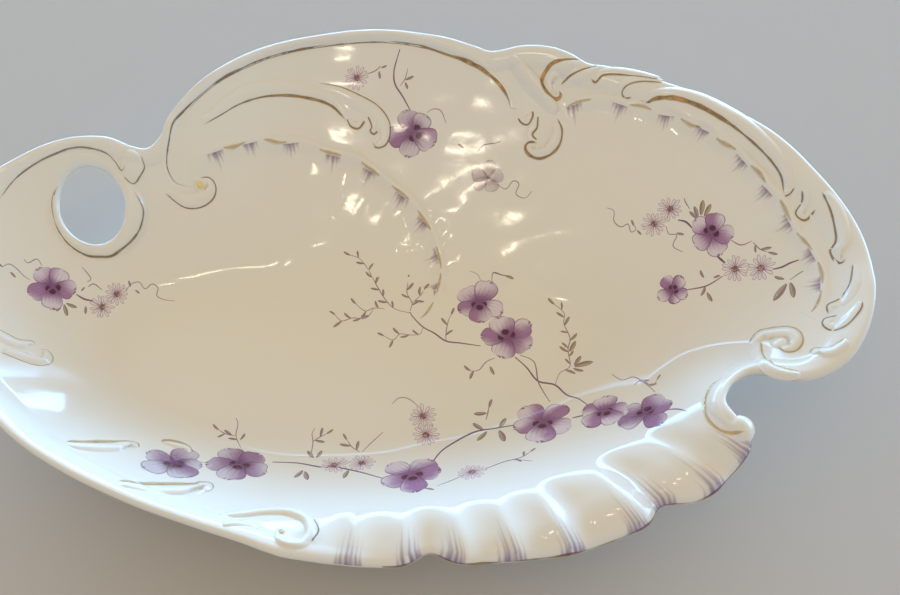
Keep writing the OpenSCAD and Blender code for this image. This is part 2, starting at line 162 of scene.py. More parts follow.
def flute_valleys(p, plain, deep):
    """Depth of the round valleys between the ridges, by the angle about the hub: the plain depth, plus
    the deeper valleys from the given column of their list, faded out at both ends of the lip."""
    turn = np.degrees(turn_of(p - HUB))
    fade = ease((turn - FLUTE_FROM) / FLUTE_FADE) * ease((FLUTE_TO - turn) / FLUTE_FADE)
    number = np.interp(turn, FLUTE_RIDGES, np.arange(len(FLUTE_RIDGES)))
    valley = np.hypot(np.sin(np.pi * number), RIDGE_ROUND) - RIDGE_ROUND
    deeper = sum(row[deep] * np.exp(-((turn - row[0]) / DEEP_REACH) ** 2) for row in DEEP_VALLEYS)
    return fade * (plain * valley + deeper)


def scalloped(p):
    """Rim points drawn in along the ray to the hub, at the valleys of the flutes."""
    return p - unit(p - HUB) * flute_valleys(p, SCALLOP_DEPTH, 1)[..., None]


print("flutes", len(FLUTE_RIDGES) - 1, "deep ones", len(DEEP_VALLEYS))

# %% [markdown]
# The drawing is stretched to the box of the packed body, so that the finished dish can't drift from the
# construction. The objects could be scaled instead, but every piece keeps its place in its mesh.

# %% Placing
RIM_SAMPLES = 32
rim_drawn = scalloped(through(RIM, np.arange(0, len(RIM), 1 / RIM_SAMPLES), closed=True))
drawn_low, drawn_high = rim_drawn.min(0), rim_drawn.max(0)
stretch = (body_high - body_low)[:2] / (drawn_high - drawn_low)
shift = (body_high + body_low)[:2] / 2 - stretch * (drawn_low + drawn_high) / 2


def in_frame(p, z):
    """Drawing points in millimetres and heights, as frame points in metres."""
    return np.concatenate([p * stretch + shift, z[..., None]], -1) / MILLIMETRES


def in_drawing(spots):
    """Frame points in millimetres, as drawing points in plan: the stretch the other way round."""
    return (spots[..., :2] - shift) / stretch


print("stretch", np.round(stretch, 4), "shift", np.round(shift, 2))

# %% [markdown]
# ## The glazed surface as one height function
# Everything on the dish sits on its glaze, so the glaze is a function: plan point in, height out. A
# flat oval floor runs into a wall whose slope, softness and turn-over change round the dish. Sculpting
# would give one mesh; a function also tells each scroll, gilded line and petal where the surface is.

# %% Wall of the dish
WALL, RIM_WALL, RIM_HEIGHT = 3.6, 2.6, 39
FLOOR_CENTRE = np.array([-20, -8])
FLOOR_LEFT, FLOOR_RIGHT, FLOOR_BACK, FLOOR_FRONT = 55, 65, 18, 28
TURN_STEP = 20
WALL_SLOPE = [.49, .44, .45, .54, .55, .59, .68, .69, .59, .68, .76, .92, .94, .92, .92, .87, .74, .56]
WALL_SOFT = [5, 5, 5, 5, 5, 5, 5, 7, 8, 7, 6, 8, 8, 8, 8, 8, 7, 5]
TURN_START = [50, 50, 50, 50, 50, 50, 50, 50, 50, 50, 50, 40, 30, 25, 24, 28, 32, 36]
TURN_RATE = [0, 0, 0, 0, 0, 0, 0, 0, 0, 0, 0, 0, .004, .018, .037, .035, .027, .014]
NOTCH_CENTRE, NOTCH_REACH, NOTCH_SLOPE, NOTCH_SOFT = np.array([79, -37]), 22, .38, 1.2
FLUTE_REACH = 11


def softened(rise, soft):
    """A hyperbola that leaves zero gently and then follows the rise."""
    return np.sqrt(rise * rise + soft * soft) - soft


def wall_rise(p):
    """Height over the floor: a softened slope past the floor's oval, less the turned-over lip, plus
    the swell at the notch and the flutes."""
    x, y = np.moveaxis(p - FLOOR_CENTRE, -1, 0)
    half_length = np.where(x < 0, FLOOR_LEFT, FLOOR_RIGHT)
    half_depth = np.where(y < 0, FLOOR_FRONT, FLOOR_BACK)
    out = np.hypot(x / half_length, y / half_depth)
    past = np.hypot(x, y) * (1 - 1 / np.maximum(out, 1))
    u = np.degrees(turn_of(p - FLOOR_CENTRE)) % 360 / TURN_STEP
    over = np.maximum(0, past - through(TURN_START, u, closed=True))
    turned = np.maximum(0, through(TURN_RATE, u, closed=True)) * over ** 2
    swell = NOTCH_SLOPE * np.maximum(0, NOTCH_REACH - np.linalg.norm(p - NOTCH_CENTRE, axis=-1))
    wall = softened(through(WALL_SLOPE, u, closed=True) * past, through(WALL_SOFT, u, closed=True))
    flutes = flute_valleys(p, FLUTE_DEPTH, 2) * ease(over / FLUTE_REACH)
    return wall - turned + softened(swell, NOTCH_SOFT) - flutes


floor_top = foot_height + WALL
rise_scale = (RIM_HEIGHT - floor_top) / wall_rise(rim_drawn).max()


def plain_glaze(p):
    """The wall without its moulded folds."""
    return floor_top + rise_scale * wall_rise(p)


print("floor at", round(floor_top, 2), "mm, rise scale", round(rise_scale, 3))

# %% [markdown]
# ## The camera, and points read from the photograph
# The camera stands where the photograph was taken: 58 degrees above the ground, with the dish filling
# the frame. The prints and strokes are listed as places in the camera's frame, in pixels from its upper
# left corner. A projected picture would smear down the walls, so a ray through each pixel finds its spot
# on the glaze, and a flower sits on the porcelain from every side.

# %% Camera
FRAME_WIDTH, FRAME_HEIGHT = 900, 595
FOCAL_PIXELS, SENSOR_WIDTH = 1088, 36
CLIP_NEAR, CLIP_FAR = 0.01, 20
CAMERA_ELEVATION = math.radians(58)
CAMERA_TARGET = np.array([14.4, 10.2, 0])
CAMERA_DISTANCE = 299
forward = np.array([0, math.cos(CAMERA_ELEVATION), -math.sin(CAMERA_ELEVATION)])
upward = np.array([0, math.sin(CAMERA_ELEVATION), math.cos(CAMERA_ELEVATION)])
rightward = np.array([1, 0, 0])
eye = CAMERA_TARGET - CAMERA_DISTANCE * forward


def add_object(name, data):
    """A new object for the data, linked to the scene."""
    made = bpy.data.objects.new(name, data)
    bpy.context.scene.collection.objects.link(made)
    return made


camera_data = bpy.data.cameras.new("camera")
camera_data.sensor_width = SENSOR_WIDTH
camera_data.lens = SENSOR_WIDTH * FOCAL_PIXELS / FRAME_WIDTH
camera_data.clip_start, camera_data.clip_end = CLIP_NEAR, CLIP_FAR
camera = add_object("camera", camera_data)
camera.location = eye / MILLIMETRES
camera.rotation_euler = (math.pi / 2 - CAMERA_ELEVATION, 0, 0)
bpy.context.scene.camera = camera
print("lens", round(camera_data.lens, 2), "mm")

# %% [markdown]
# A ray could be cast on a mesh, but none is made yet. So each ray is set against the height function: it
# is walked down level by level until it is in the wall.

# %% Rays through pixels
WALK_ABOVE, WALK_LEVELS = 6, 181


def pixel_rays(pixels):
    """Directions of the camera's rays: the focal length forward, then right and down to the pixel."""
    pixels = np.asarray(pixels, float)
    return (FOCAL_PIXELS * forward + (pixels[:, :1] - FRAME_WIDTH / 2) * rightward
            - (pixels[:, 1:] - FRAME_HEIGHT / 2) * upward)


def under_pixels(pixels):
    """Drawing points where rays through the pixels first meet the wall: each ray is walked down
    through many levels, and the crossing is found between the last two."""
    rays = pixel_rays(pixels)
    levels = np.linspace(RIM_HEIGHT + WALK_ABOVE, 0, WALK_LEVELS)
    plan = in_drawing(eye + ((levels - eye[2]) / rays[:, 2:])[..., None] * rays[:, None])
    gap = levels - plain_glaze(plan)
    hit = np.maximum(1, np.argmax(gap <= 0, axis=1))
    rows = np.arange(len(rays))
    above, below = gap[rows, hit - 1], gap[rows, hit]
    f = (above / (above - below))[:, None]
    return plan[rows, hit - 1] * (1 - f) + plan[rows, hit] * f


frame_middle = under_pixels([(FRAME_WIDTH / 2, FRAME_HEIGHT / 2)])[0]
print("the middle of the frame is at", np.round(frame_middle, 1), "mm on the glaze")

# %% [markdown]
# ## Moulded relief
# The scrolls, folds, rolls and beads were pressed into the clay by the mould, so they belong to the
# same skin as the wall. They could be swept curves joined on, but a seam would show in the gloss. So each
# is a height by distance from a line, added to the wall where the line is near. The pixel lists below
# follow the strokes one by one.

# %% Scroll strokes
# Each stroke: relief width, relief height, the side that swells (1 left of the line, -1 right, 0 both),
# gold widths along it, pixels
STROKES = {
    "c_scroll": [
        (2.4, 0.25, 1, (0.35, 0.38, 0.42, 0.42, 0.42, 0.4, 0.4, 0.42, 0.5, 0.8, 1.1, 0.8),
         [(191, 187), (176, 183), (168, 170), (167, 157), (170, 140), (175, 122), (191, 105),
          (214, 85), (236, 71), (267, 59), (298, 51), (330, 46), (361, 43), (393, 43), (425, 48),
          (447, 55), (464, 61), (482, 70), (495, 80), (504, 91), (509, 101), (511, 108), (516, 109)]),
        (3.6, 0.8, 1, (0.3, 0.4, 0.4),
         [(165, 193), (181, 206), (193, 209), (205, 206), (214, 198), (216, 187), (210, 178),
          (200, 178)])],
    "plume_scroll": [
        (4.2, 0.6, 1, (0.3, 0.4, 0.5, 0.8, 0.9, 0.6),
         [(204, 125), (220, 116), (241, 104), (265, 97), (290, 96), (315, 100), (331, 106),
          (341, 115), (346, 121)]),
        (4.2, 0.6, -1, (0.3, 0.4, 0.4, 0.6),
         [(319, 83), (340, 87), (361, 96), (378, 106), (389, 121), (390, 136), (385, 146),
          (376, 148), (373, 142)]),
        (2, 0.4, 1, (0.5, 0.6), [(347, 119), (351, 127), (359, 129), (365, 121)]),
        (2, 0.4, 1, (0.5, 0.6), [(368, 117), (372, 127), (370, 131), (374, 135), (378, 131)])],
    "crest_scroll": [
        (5, 1.9, 0, (), [(509, 58), (518, 68), (531, 82), (545, 98), (557, 113)]),
        (4.2, 1, -1, (0.5, 0.7, 0.9, 0.8),
         [(557, 118), (562, 130), (560, 144), (552, 154), (540, 159), (530, 156), (525, 149),
          (528, 143), (537, 143)]),
        (4, 0.9, 1, (0.5, 1.2, 1.3, 0.9),
         [(580, 61), (564, 61), (550, 66), (543, 77), (542, 87), (547, 96), (556, 100), (561, 96),
          (559, 91)]),
        (2.2, 0.4, 1, (0.5, 0.6), [(518, 118), (521, 123), (528, 125), (533, 116), (532, 111)]),
        (2.2, 0.4, -1, (0.5, 0.6), [(538, 116), (537, 128), (532, 135), (537, 140)])],
    "border_scrolls": [
        (2.8, 0.5, 1, (0.5, 0.6), [(597, 67), (585, 70), (573, 75), (566, 80), (561, 85)]),
        (2.2, 0.25, -1, (0.5, 0.7), [(659, 81), (637, 78), (616, 76), (602, 77), (595, 84), (590, 80)]),
        (2.2, 0.3, -1, (0.4, 0.5), [(661, 84), (640, 83), (626, 87), (621, 94), (625, 99), (631, 98)]),
        (4, 0.7, 1, (0.6, 1.3, 1.2, 0.7, 0.5, 0.5),
         [(640, 101), (646, 104), (655, 100), (674, 100), (696, 107), (718, 119), (737, 132),
          (757, 149), (772, 165), (781, 180), (783, 195)]),
        (2, 0.4, 1, (0.5, 0.5), [(783, 197), (790, 194), (793, 188)]),
        (2.4, 0.5, 1, (0.5, 0.6),
         [(800, 191), (801, 202), (795, 212), (796, 217), (805, 221), (814, 210)]),
        (3.4, 0.6, 1, (0.6, 0.6),
         [(820, 193), (829, 213), (834, 236), (833, 245), (829, 251), (833, 260), (840, 264),
          (844, 259)]),
        (2.4, 0.2, 1, (0.4, 0.5), [(851, 264), (848, 284), (839, 299), (827, 305), (828, 314)]),
        (2.4, 0.25, 1, (0.5, 0.5),
         [(839, 315), (824, 319), (823, 326), (833, 331), (846, 325), (859, 310), (861, 301)])],
    "end_volute": [
        (4.4, 1.3, -1, (0.7, 0.8, 0.7),
         [(748, 344), (757, 332), (772, 328), (789, 327), (800, 332), (803, 342), (796, 351),
          (785, 352), (777, 347)]),
        (3.2, 0.8, -1, (0.9, 0.8), [(761, 342), (763, 355), (772, 364), (785, 369), (800, 372)]),
        (3, 0.7, -1, (0.6, 0.6), [(809, 355), (814, 348), (829, 347), (844, 338)])],
    "notch_roll": [
        (3, 0.4, 1, (0.7, 1.0, 0.8),
         [(722, 378), (712, 385), (704, 402), (707, 418), (719, 430), (734, 434), (744, 433)])],
    "side_scrolls": [
        (4, 1.2, -1, (1.5, 2.1, 1.9, 0.5, 0.4),
         [(66, 441), (80, 442), (111, 442), (126, 441), (138, 443), (139, 448)]),
        (2.2, 0.7, -1, (1.8, 1.5, 0.5, 0.4), [(161, 441), (173, 441), (189, 446), (193, 453)]),
        (4, 1.2, -1, (1.5, 2.1, 2.1, 0.6, 0.45),
         [(120, 480), (141, 484), (193, 484), (199, 482), (211, 483), (213, 489), (203, 493)]),
        (3, 0.6, -1, (0.3, 0.3), [(-10, 326), (0, 330), (18, 339), (32, 341), (36, 345)]),
        (4, 0.8, -1, (0.3, 0.3), [(40, 350), (47, 350), (53, 357), (50, 364), (34, 365), (0, 352)])],
}
print("strokes", {node: len(strokes) for node, strokes in STROKES.items()})

# %% [markdown]
# The lip turns away from the camera at the front volute, so its spiral is given in millimetres. A fold
# stands over the plain wall, so its pixels are read a little lower before they are cast on the wall.

# %% Volute, beads and folds
STROKES["front_volute"] = [
    (3.4, 1.3, 0, (), [(-38, -63.6), (-33, -62.5), (-28, -61.2), (-23, -61), (-18.5, -63.5), (-17, -67.5),
                       (-19, -70.4), (-22.6, -70.2), (-24.2, -67.8), (-22.8, -66.4)]),
    (2.6, 0.8, 0, (), [(-36, -67), (-32.5, -65.6), (-29.5, -65.8), (-28.2, -67.4)])]
# Beads: radius, height, pixel
BEADS = [(3.2, 1.3, (133, 167)), (1.5, 0.9, (200, 186)), (2, 0.9, (779, 343)), (2.6, 0.7, (742, 428))]
LEFT_FOLD = [(197, 181), (198, 168), (207, 154), (220, 148), (235, 146), (248, 141), (265, 139),
             (279, 142), (294, 141), (309, 144), (325, 151), (341, 155), (357, 159), (369, 168),
             (379, 175), (395, 188), (410, 200), (422, 216), (432, 232), (438, 252), (441, 267),
             (439, 283), (434, 299), (425, 312), (417, 317)]
RIGHT_FOLD = [(562, 107), (572, 102), (590, 99), (609, 99), (627, 104), (643, 106), (657, 112),
              (674, 115), (690, 125), (704, 128), (719, 141), (735, 150), (748, 164), (759, 174),
              (767, 187), (778, 198), (786, 213), (795, 231), (805, 242), (813, 253), (820, 270),
              (821, 286), (816, 303), (806, 314)]
RELIEF_STEP, FOLD_DROP = 0.8, np.array([0, 3])

fold_lines = {node: stroke_line(under_pixels(np.array(pixels) + FOLD_DROP), RELIEF_STEP)
              for node, pixels in (("left_shell_edge", LEFT_FOLD), ("right_shell_edge", RIGHT_FOLD))}
print("beads", len(BEADS), "folds", {node: len(line) for node, line in fold_lines.items()})

# %% [markdown]
# A distance from a line is the least distance from its straight pieces. A search tree is fast but doesn't
# tell the side, so numpy sets a block of points against all pieces at once, and a box round each line
# leaves out the points that it can't reach.

# %% Distances
BLOCK = 1_000_000


def near_line(p, line):
    """Signed distance of plan points from a path, positive on its left, and the share of the path's
    length at the nearest spot."""
    start, way = line[:-1], np.diff(line, axis=0)
    length = np.linalg.norm(way, axis=1)
    run = run_of(line)
    found = []
    for block in np.array_split(p, max(1, len(p) * len(line) // BLOCK)):
        rel = block[:, None] - start
        f = np.clip((rel * way).sum(-1) / length ** 2, 0, 1)
        gap = rel - f[..., None] * way
        far = np.hypot(gap[..., 0], gap[..., 1])
        best = far.argmin(1)
        rows = np.arange(len(block))
        side = way[best, 0] * rel[rows, best, 1] - way[best, 1] * rel[rows, best, 0]
        share = (run[best] + f[rows, best] * length[best]) / run[-1]
        found.append(np.stack([np.copysign(far[rows, best], side), share]))
    return np.concatenate(found, axis=1)


def within(p, line, reach):
    """Which points lie in the line's box, grown by the reach."""
    return ((p > line.min(0) - reach) & (p < line.max(0) + reach)).all(-1)


print("distances in blocks of", BLOCK)

# %% [markdown]
# A stroke is a dome across its line, thin at both ends. A shell fold is a rolled edge: the panel behind
# it stands higher, a bead runs along the edge, and short flutes lead down into the bowl. Both could be
# sculpted, but a formula gives every stroke the same clean section.

# %% Heights of strokes and folds
FOLD_HEIGHT, FOLD_STEP, FOLD_REACH = 0.65, 2.6, 9
FOLD_BEAD, FOLD_BEAD_AT, FOLD_BEAD_WIDTH = 0.45, 0.7, 0.9
CROWN_EXTRA, CROWN_AT, CROWN_REACH = 0.5, 0.52, 0.18
FOLD_FLUTES, FOLD_FLUTE_DEPTH, FOLD_FLUTE_REACH = 10, 0.55, 7
# Shares of the length over which a fold and a stroke rise and fall, and how round a stroke's section is
FOLD_ENDS, STROKE_ENDS, STROKE_ROUND = (0.07, 0.12), (0.08, 0.05), 1.2
# The share of its width that a stroke keeps at its ends, and how soon it is full
END_SIZE, END_GUARD, FULL_SOON = 0.35, 0.02, 0.7


def stroke_size(share):
    """How full a stroke is along its length: a sine that is thin at the ends and full in the middle."""
    swell = np.sin(np.pi * np.clip(share, END_GUARD, 1 - END_GUARD)) ** FULL_SOON
    return END_SIZE + (1 - END_SIZE) * swell


def stroke_rise(signed, share, width, height, side):
    """A dome across the stroke, centred on the side that swells, thin at both ends."""
    size = stroke_size(share)
    across = np.clip((signed - side * width * size / 2) / (width * size / 2), -1, 1)
    return height * size * end_fade(share, *STROKE_ENDS) * (1 - across ** 2) ** STROKE_ROUND


def fold_rise(signed, share):
    """Panel side: a bead on the edge, and the fold's height fading over its reach. Inside: a short step
    down, then flutes."""
    behind = np.exp(-np.maximum(signed, 0) / FOLD_REACH)
    panel = np.where(signed > 0, behind, ease(1 + signed / FOLD_STEP))
    crown = FOLD_BEAD + CROWN_EXTRA * np.exp(-((share - CROWN_AT) / CROWN_REACH) ** 2)
    bead = crown * np.exp(-((signed - FOLD_BEAD_AT) / FOLD_BEAD_WIDTH) ** 2)
    wave = 0.5 - 0.5 * np.cos(2 * np.pi * FOLD_FLUTES * share)
    inside = ease(-signed / FOLD_STEP) * np.exp(np.minimum(signed, 0) / FOLD_FLUTE_REACH)
    rise = FOLD_HEIGHT * panel + bead - FOLD_FLUTE_DEPTH * wave * inside
    return end_fade(share, *FOLD_ENDS) * rise


print("folds", FOLD_HEIGHT, "mm high")

# %% [markdown]
# Two rolls follow edges. The first runs round the finger hole and swells toward the dish. A bevel would
# give it one width, so its width and height are read from short lists by the turn round the hole.

# %% Roll round the finger hole
HOLE_CENTRE = np.array([-81.9, 24.0])
HOLE_HALF = np.array([8.3, 8.8])
# Turns round the hole in degrees, with the width and height of the roll there
ROLL_TURNS = [-180, -160, -140, -100, -60, -37, -17, 0, 10, 22, 45, 120, 160, 180]
ROLL_WIDTHS = [1.7, 1.9, 2.4, 2.8, 3.3, 4.3, 5.5, 6.1, 5.3, 3.8, 2, 1.5, 1.5, 1.7]
ROLL_HEIGHTS = [0.5, 0.9, 1.3, 1.9, 2.3, 2.7, 2.9, 2.8, 2.1, 1.1, 0.3, 0.2, 0.3, 0.5]
# The share of its width that the roll goes past the hole's edge, and how full its crown is
ROLL_PAST, DOME_FULL = 0.25, 0.75


def dome(across):
    """A round crown that is 1 at 0 and drops to 0 at -1 and 1."""
    return np.maximum(0, 1 - across ** 2) ** DOME_FULL


def hole_roll(p):
    """The roll round the finger hole: a dome from its foot to just past the hole's edge."""
    rel = (p - HOLE_CENTRE) / HOLE_HALF
    turn = np.degrees(turn_of(rel))
    off = (np.linalg.norm(rel, axis=-1) - 1) * HOLE_HALF.mean()
    widths_off = off / np.interp(turn, ROLL_TURNS, ROLL_WIDTHS)
    across = np.clip((widths_off + ROLL_PAST) / (1 + ROLL_PAST), 0, 1)
    return np.interp(turn, ROLL_TURNS, ROLL_HEIGHTS) * dome(2 * across - 1)


print("hole", 2 * HOLE_HALF, "mm, roll up to", max(ROLL_HEIGHTS), "mm high")

# %% [markdown]
# The second roll runs along the whole rim, where the potter's sponge left it round and uneven. Its lists
# are read by the number of the rim point.

# %% Roll along the rim
# Rim numbers, with the width and height of the roll along the rim there
RIM_KNOTS = [0, 1, 5.5, 7, 8, 9, 10.5, 13, 15, 18, 21, 24, 27, 29.5, 31, 32, 33, 35, 36.2, 37.4,
             39.8, 41, 42, 43.5, 45, 48, 51, 54]
RIM_ROLL_WIDTHS = [4, 2, 2, 3, 3.6, 4.6, 3.4, 5, 6.5, 7.5, 8, 7, 6, 5, 3.7, 3.1, 2.6, 2.5, 2.2, 4.2,
                   4.2, 2.8, 3.2, 5.5, 6, 6.5, 6.5, 5]
RIM_ROLL_HEIGHTS = [0.6, 0, 0, 0.6, 1, 1.4, 1.2, 1.2, 1, 1.1, 1.6, 1.8, 1.3, 1.2, 1.4, 1.4, 1.4, 1.4,
                    1.1, 1, 1, 1, 1, 1.1, 1.3, 1.6, 1.7, 1.2]
CREST_SHARE, ROLL_FALL, FALL_PAST = 0.55, 0.5, 1.5
# Points of a ray from the hub are measured past this share of the way to the rim
MEASURED_FROM, ROLL_SAMPLES = 0.8, 8

rim_numbers = np.arange(0, len(RIM), 1 / ROLL_SAMPLES)
rim_line = scalloped(through(RIM, np.append(rim_numbers, 0), closed=True))
rim_turns = np.unwrap(turn_of(rim_line - HUB))
rim_reach = np.linalg.norm(rim_line - HUB, axis=1)
rim_run = run_of(rim_line)


def rim_roll(p):
    """The roll along the rim: it climbs steeply from its foot to a crest, then falls away toward the
    silhouette. Only points in the outer part of each ray from the hub are measured."""
    rise = np.zeros(len(p))
    turn = rim_turns[0] + (turn_of(p - HUB) - rim_turns[0]) % (2 * np.pi)
    outer = np.linalg.norm(p - HUB, axis=1) > np.interp(turn, rim_turns, rim_reach) * MEASURED_FROM
    if outer.any():
        signed, share = near_line(p[outer], rim_line)
        number = np.interp(share * rim_run[-1], rim_run, np.append(rim_numbers, len(RIM)))
        width = np.interp(number, RIM_KNOTS, RIM_ROLL_WIDTHS, period=len(RIM))
        height = np.interp(number, RIM_KNOTS, RIM_ROLL_HEIGHTS, period=len(RIM))
        crest = CREST_SHARE * width
        climb = dome(np.clip((signed - crest) / (width - crest), 0, 1))
        fall = ROLL_FALL * np.clip((crest - signed) / crest, 0, FALL_PAST) ** 2
        rise[outer] = height * (climb - fall)
    return rise


print("rim", round(rim_run[-1]), "mm round")

# %% [markdown]
# The sum of the wall, the rolls, the folds and a faint hand-pressed unevenness is the glaze. The
# unevenness could come from a noise texture, but a few long waves bend a reflection more softly.

# %% The glaze
# Waves of a hand-pressed surface: how fast each runs along x and y, and its start, in radians
WAVES = [(0.22, 0.49, 1.0), (-0.14, 0.58, 2.2), (0.26, -0.43, 0.7), (0.08, 0.71, 4.1)]
WAVE_HEIGHT, FOLD_MARGIN = 0.022, 40


def waviness(p):
    """A faint unevenness that bends the reflections of the lamps."""
    return WAVE_HEIGHT * sum(np.sin(p @ np.array(wave[:2]) + wave[2]) for wave in WAVES)


def glaze(p):
    """Height of the glazed body over the ground, in millimetres, without the scrolls: the wall, both rolls,
    the waves and the folds, added up."""
    flat = np.asarray(p, float).reshape(-1, 2)
    z = plain_glaze(flat) + hole_roll(flat) + rim_roll(flat) + waviness(flat)
    for line in fold_lines.values():
        near = within(flat, line, FOLD_MARGIN)
        if near.any():
            z[near] += fold_rise(*near_line(flat[near], line))
    return z.reshape(p.shape[:-1])


print("waves", len(WAVES), "of", WAVE_HEIGHT, "mm")

# %% [markdown]
# A pixel cast on the plain wall lands too far back wherever the glaze stands higher. Walking each ray down
# the full glaze would be slow, so the places of the scrolls and beads are settled in a few rounds.

# %% From pixels to the glaze
SETTLE_ROUNDS = 3


def on_glaze(pixels):
    """Drawing points under pixels on the glaze: each pixel is lowered by what the glaze stands over the
    plain wall, as seen by the camera, and read again."""
    pixels = np.asarray(pixels, float)
    seen = FOCAL_PIXELS / CAMERA_DISTANCE * math.cos(CAMERA_ELEVATION)
    spots = under_pixels(pixels)
    for _ in range(SETTLE_ROUNDS):
        over = glaze(spots) - plain_glaze(spots)
        spots = under_pixels(pixels + np.stack([0 * over, seen * over], 1))
    return spots


def plan_line(node, points):
    """A stroke's path in plan: the front volute's points are millimetres, the others pixels."""
    spots = np.array(points, float) if node == "front_volute" else on_glaze(points)
    return stroke_line(spots, RELIEF_STEP)


stroke_lines = {node: [plan_line(node, stroke[-1]) for stroke in strokes]
                for node, strokes in STROKES.items()}
bead_spots = on_glaze([bead[2] for bead in BEADS])
print("paths", sum(len(lines) for lines in stroke_lines.values()), "beads", len(bead_spots))

# %% [markdown]
# The scrolls and beads go on top of the glaze. Where two meet, the higher one wins, as it does when clay
# is pressed on clay. The underside follows the plain wall, since the mould shaped only the upper side.

# %% The moulded surface
SLOPE_REACH = 0.3


def relief(p):
    """The highest of the strokes and beads at each point."""
    rise = np.zeros(len(p))
    for node, lines in stroke_lines.items():
        for (width, height, side, _, _), line in zip(STROKES[node], lines):
            near = within(p, line, width)
            if near.any():
                signed, share = near_line(p[near], line)
                rise[near] = np.maximum(rise[near], stroke_rise(signed, share, width, height, side))
    for (radius, height, _), spot in zip(BEADS, bead_spots):
        far = np.linalg.norm(p - spot, axis=1) / radius
        rise = np.maximum(rise, height * dome(far))
    return rise


def moulded(p):
    """Height of the glaze with the scrolls and beads."""
    return glaze(p) + relief(p.reshape(-1, 2)).reshape(p.shape[:-1])


def slopes(p, height=glaze):
    """The surface's slope along x and y: the difference of heights a little to each side."""
    steps = SLOPE_REACH * np.eye(2)
    return [(height(p + step) - height(p - step)) / (2 * SLOPE_REACH) for step in steps]


def underside(p, thick):
    """The lower face: the plain wall, less its thickness measured square to the slope."""
    gx, gy = slopes(p, plain_glaze)
    return plain_glaze(p) - thick * np.sqrt(1 + gx ** 2 + gy ** 2)


middle_floor = moulded(FLOOR_CENTRE[None])[0]
print("the middle of the floor is", round(float(middle_floor), 2), "mm over the ground")

# %% [markdown]
# ## Finishes from arithmetic
# A finish is a small sum of textures, so its graph should read like a formula, which nodes linked one by
# one don't. The class below wraps a shader socket: plus, minus and times each add one Math node. Any other
# node comes from `node`, which takes its type, its settings and its sockets.

# %% Shader arithmetic
class Wire:
    """One output socket of a graph."""

    def __init__(self, graph, socket):
        self.graph = graph
        self.socket = socket

    def _sum(self, operation, first, second):
        """A Math node on two values or wires."""
        return self.graph.node("Math", {"operation": operation}, [first, second])

    def __add__(self, other):
        return self._sum("ADD", self, other)

    def __radd__(self, other):
        return self._sum("ADD", other, self)

    def __sub__(self, other):
        return self._sum("SUBTRACT", self, other)

    def __rsub__(self, other):
        return self._sum("SUBTRACT", other, self)

    def __mul__(self, other):
        return self._sum("MULTIPLY", self, other)

    def __rmul__(self, other):
        return self._sum("MULTIPLY", other, self)


class Graph:
    """A shader graph, with one method for any node and a few short forms of it."""

    def __init__(self, tree):
        self.tree = tree

    def plug(self, value, socket):
        """Links a wire to a socket, or sets the socket to a plain value."""
        if isinstance(value, Wire):
            self.tree.links.new(value.socket, socket)
        else:
            socket.default_value = value

    def node(self, kind, settings=None, sockets=(), out=0):
        """Any node: its type, the settings of the node itself, then its sockets by name or place."""
        made = self.tree.nodes.new("ShaderNode" + kind)
        for setting, value in (settings or {}).items():
            setattr(made, setting, value)
        for socket, value in sockets.items() if isinstance(sockets, dict) else enumerate(sockets):
            self.plug(value, made.inputs[socket])
        return Wire(self, made.outputs[out])

    def value(self, attribute):
        """A number that the mesh carries at each point."""
        return self.node("Attribute", {"attribute_name": attribute}, out="Fac")

    def noise(self, scale, detail=2):
        """Noise on Object coordinates, about 0 to 1."""
        place = self.node("TexCoord", out="Object")
        return self.node("TexNoise", {}, {"Vector": place, "Scale": scale, "Detail": detail})

    def step(self, value, low, high):
        """0 at low, 1 at high, smooth between."""
        ranged = {"Value": value, "From Min": low, "From Max": high}
        return self.node("MapRange", {"interpolation_type": "SMOOTHSTEP"}, ranged)

    def mix(self, share, first, second):
        """A colour between two, by the share of the second."""
        return self.node("Mix", {"data_type": "RGBA"}, {0: share, 6: first, 7: second}, out=2)


print("a wire takes", sum(name.startswith("__r") for name in vars(Wire)), "operators")

# %% [markdown]
# A material of the dish is one Principled shader, which has a socket for all that porcelain, gold and
# print need. Colours are written as a screen shows them and turned into the linear values of a shader.

# %% Materials and colours
class Finish(Graph):
    """A material with one Principled shader, whose plain sockets are given by name."""

    def __init__(self, name, **plain):
        self.material = bpy.data.materials.new(name)
        self.material.use_nodes = True
        super().__init__(self.material.node_tree)
        self.shader = self.tree.nodes["Principled BSDF"]
        for socket, value in plain.items():
            self.put(socket.replace("_", " ").title(), value)

    def put(self, socket, value):
        """Plugs a value or a wire into the shader's socket of that name."""
        self.plug(value, self.shader.inputs[socket])


def paint(red, green, blue):
    """A screen colour of 0 to 255 as the linear values a shader takes."""
    level = np.array([red, green, blue]) / 255
    linear = np.where(level < 0.04045, level / 12.92, ((level + 0.055) / 1.055) ** 2.4)
    return (*linear.tolist(), 1)


print("middle grey of the screen is", round(paint(128, 128, 128)[0], 3), "in a shader")

# %% [markdown]
# ## Meshes from arrays
# Every piece is a closed mesh. A flat strip with a Solidify modifier would do for a print, but a closed
# sheet of two grids can dip under the surface at its edges, so no side shows.

# %% Faces of grids
def quads(grid):
    """The four-sided faces of a grid of point numbers."""
    return np.stack([grid[:-1, :-1], grid[1:, :-1], grid[1:, 1:], grid[:-1, 1:]], -1).reshape(-1, 4)


def outline(grid):
    """Point numbers round the edge of a grid, once round."""
    return np.concatenate([grid[0, :-1], grid[:-1, -1], grid[-1, :0:-1], grid[:0:-1, 0]])


def wrapped(grid):
    """A grid of point numbers with its first column again after the last."""
    return np.concatenate([grid, grid[:, :1]], 1)


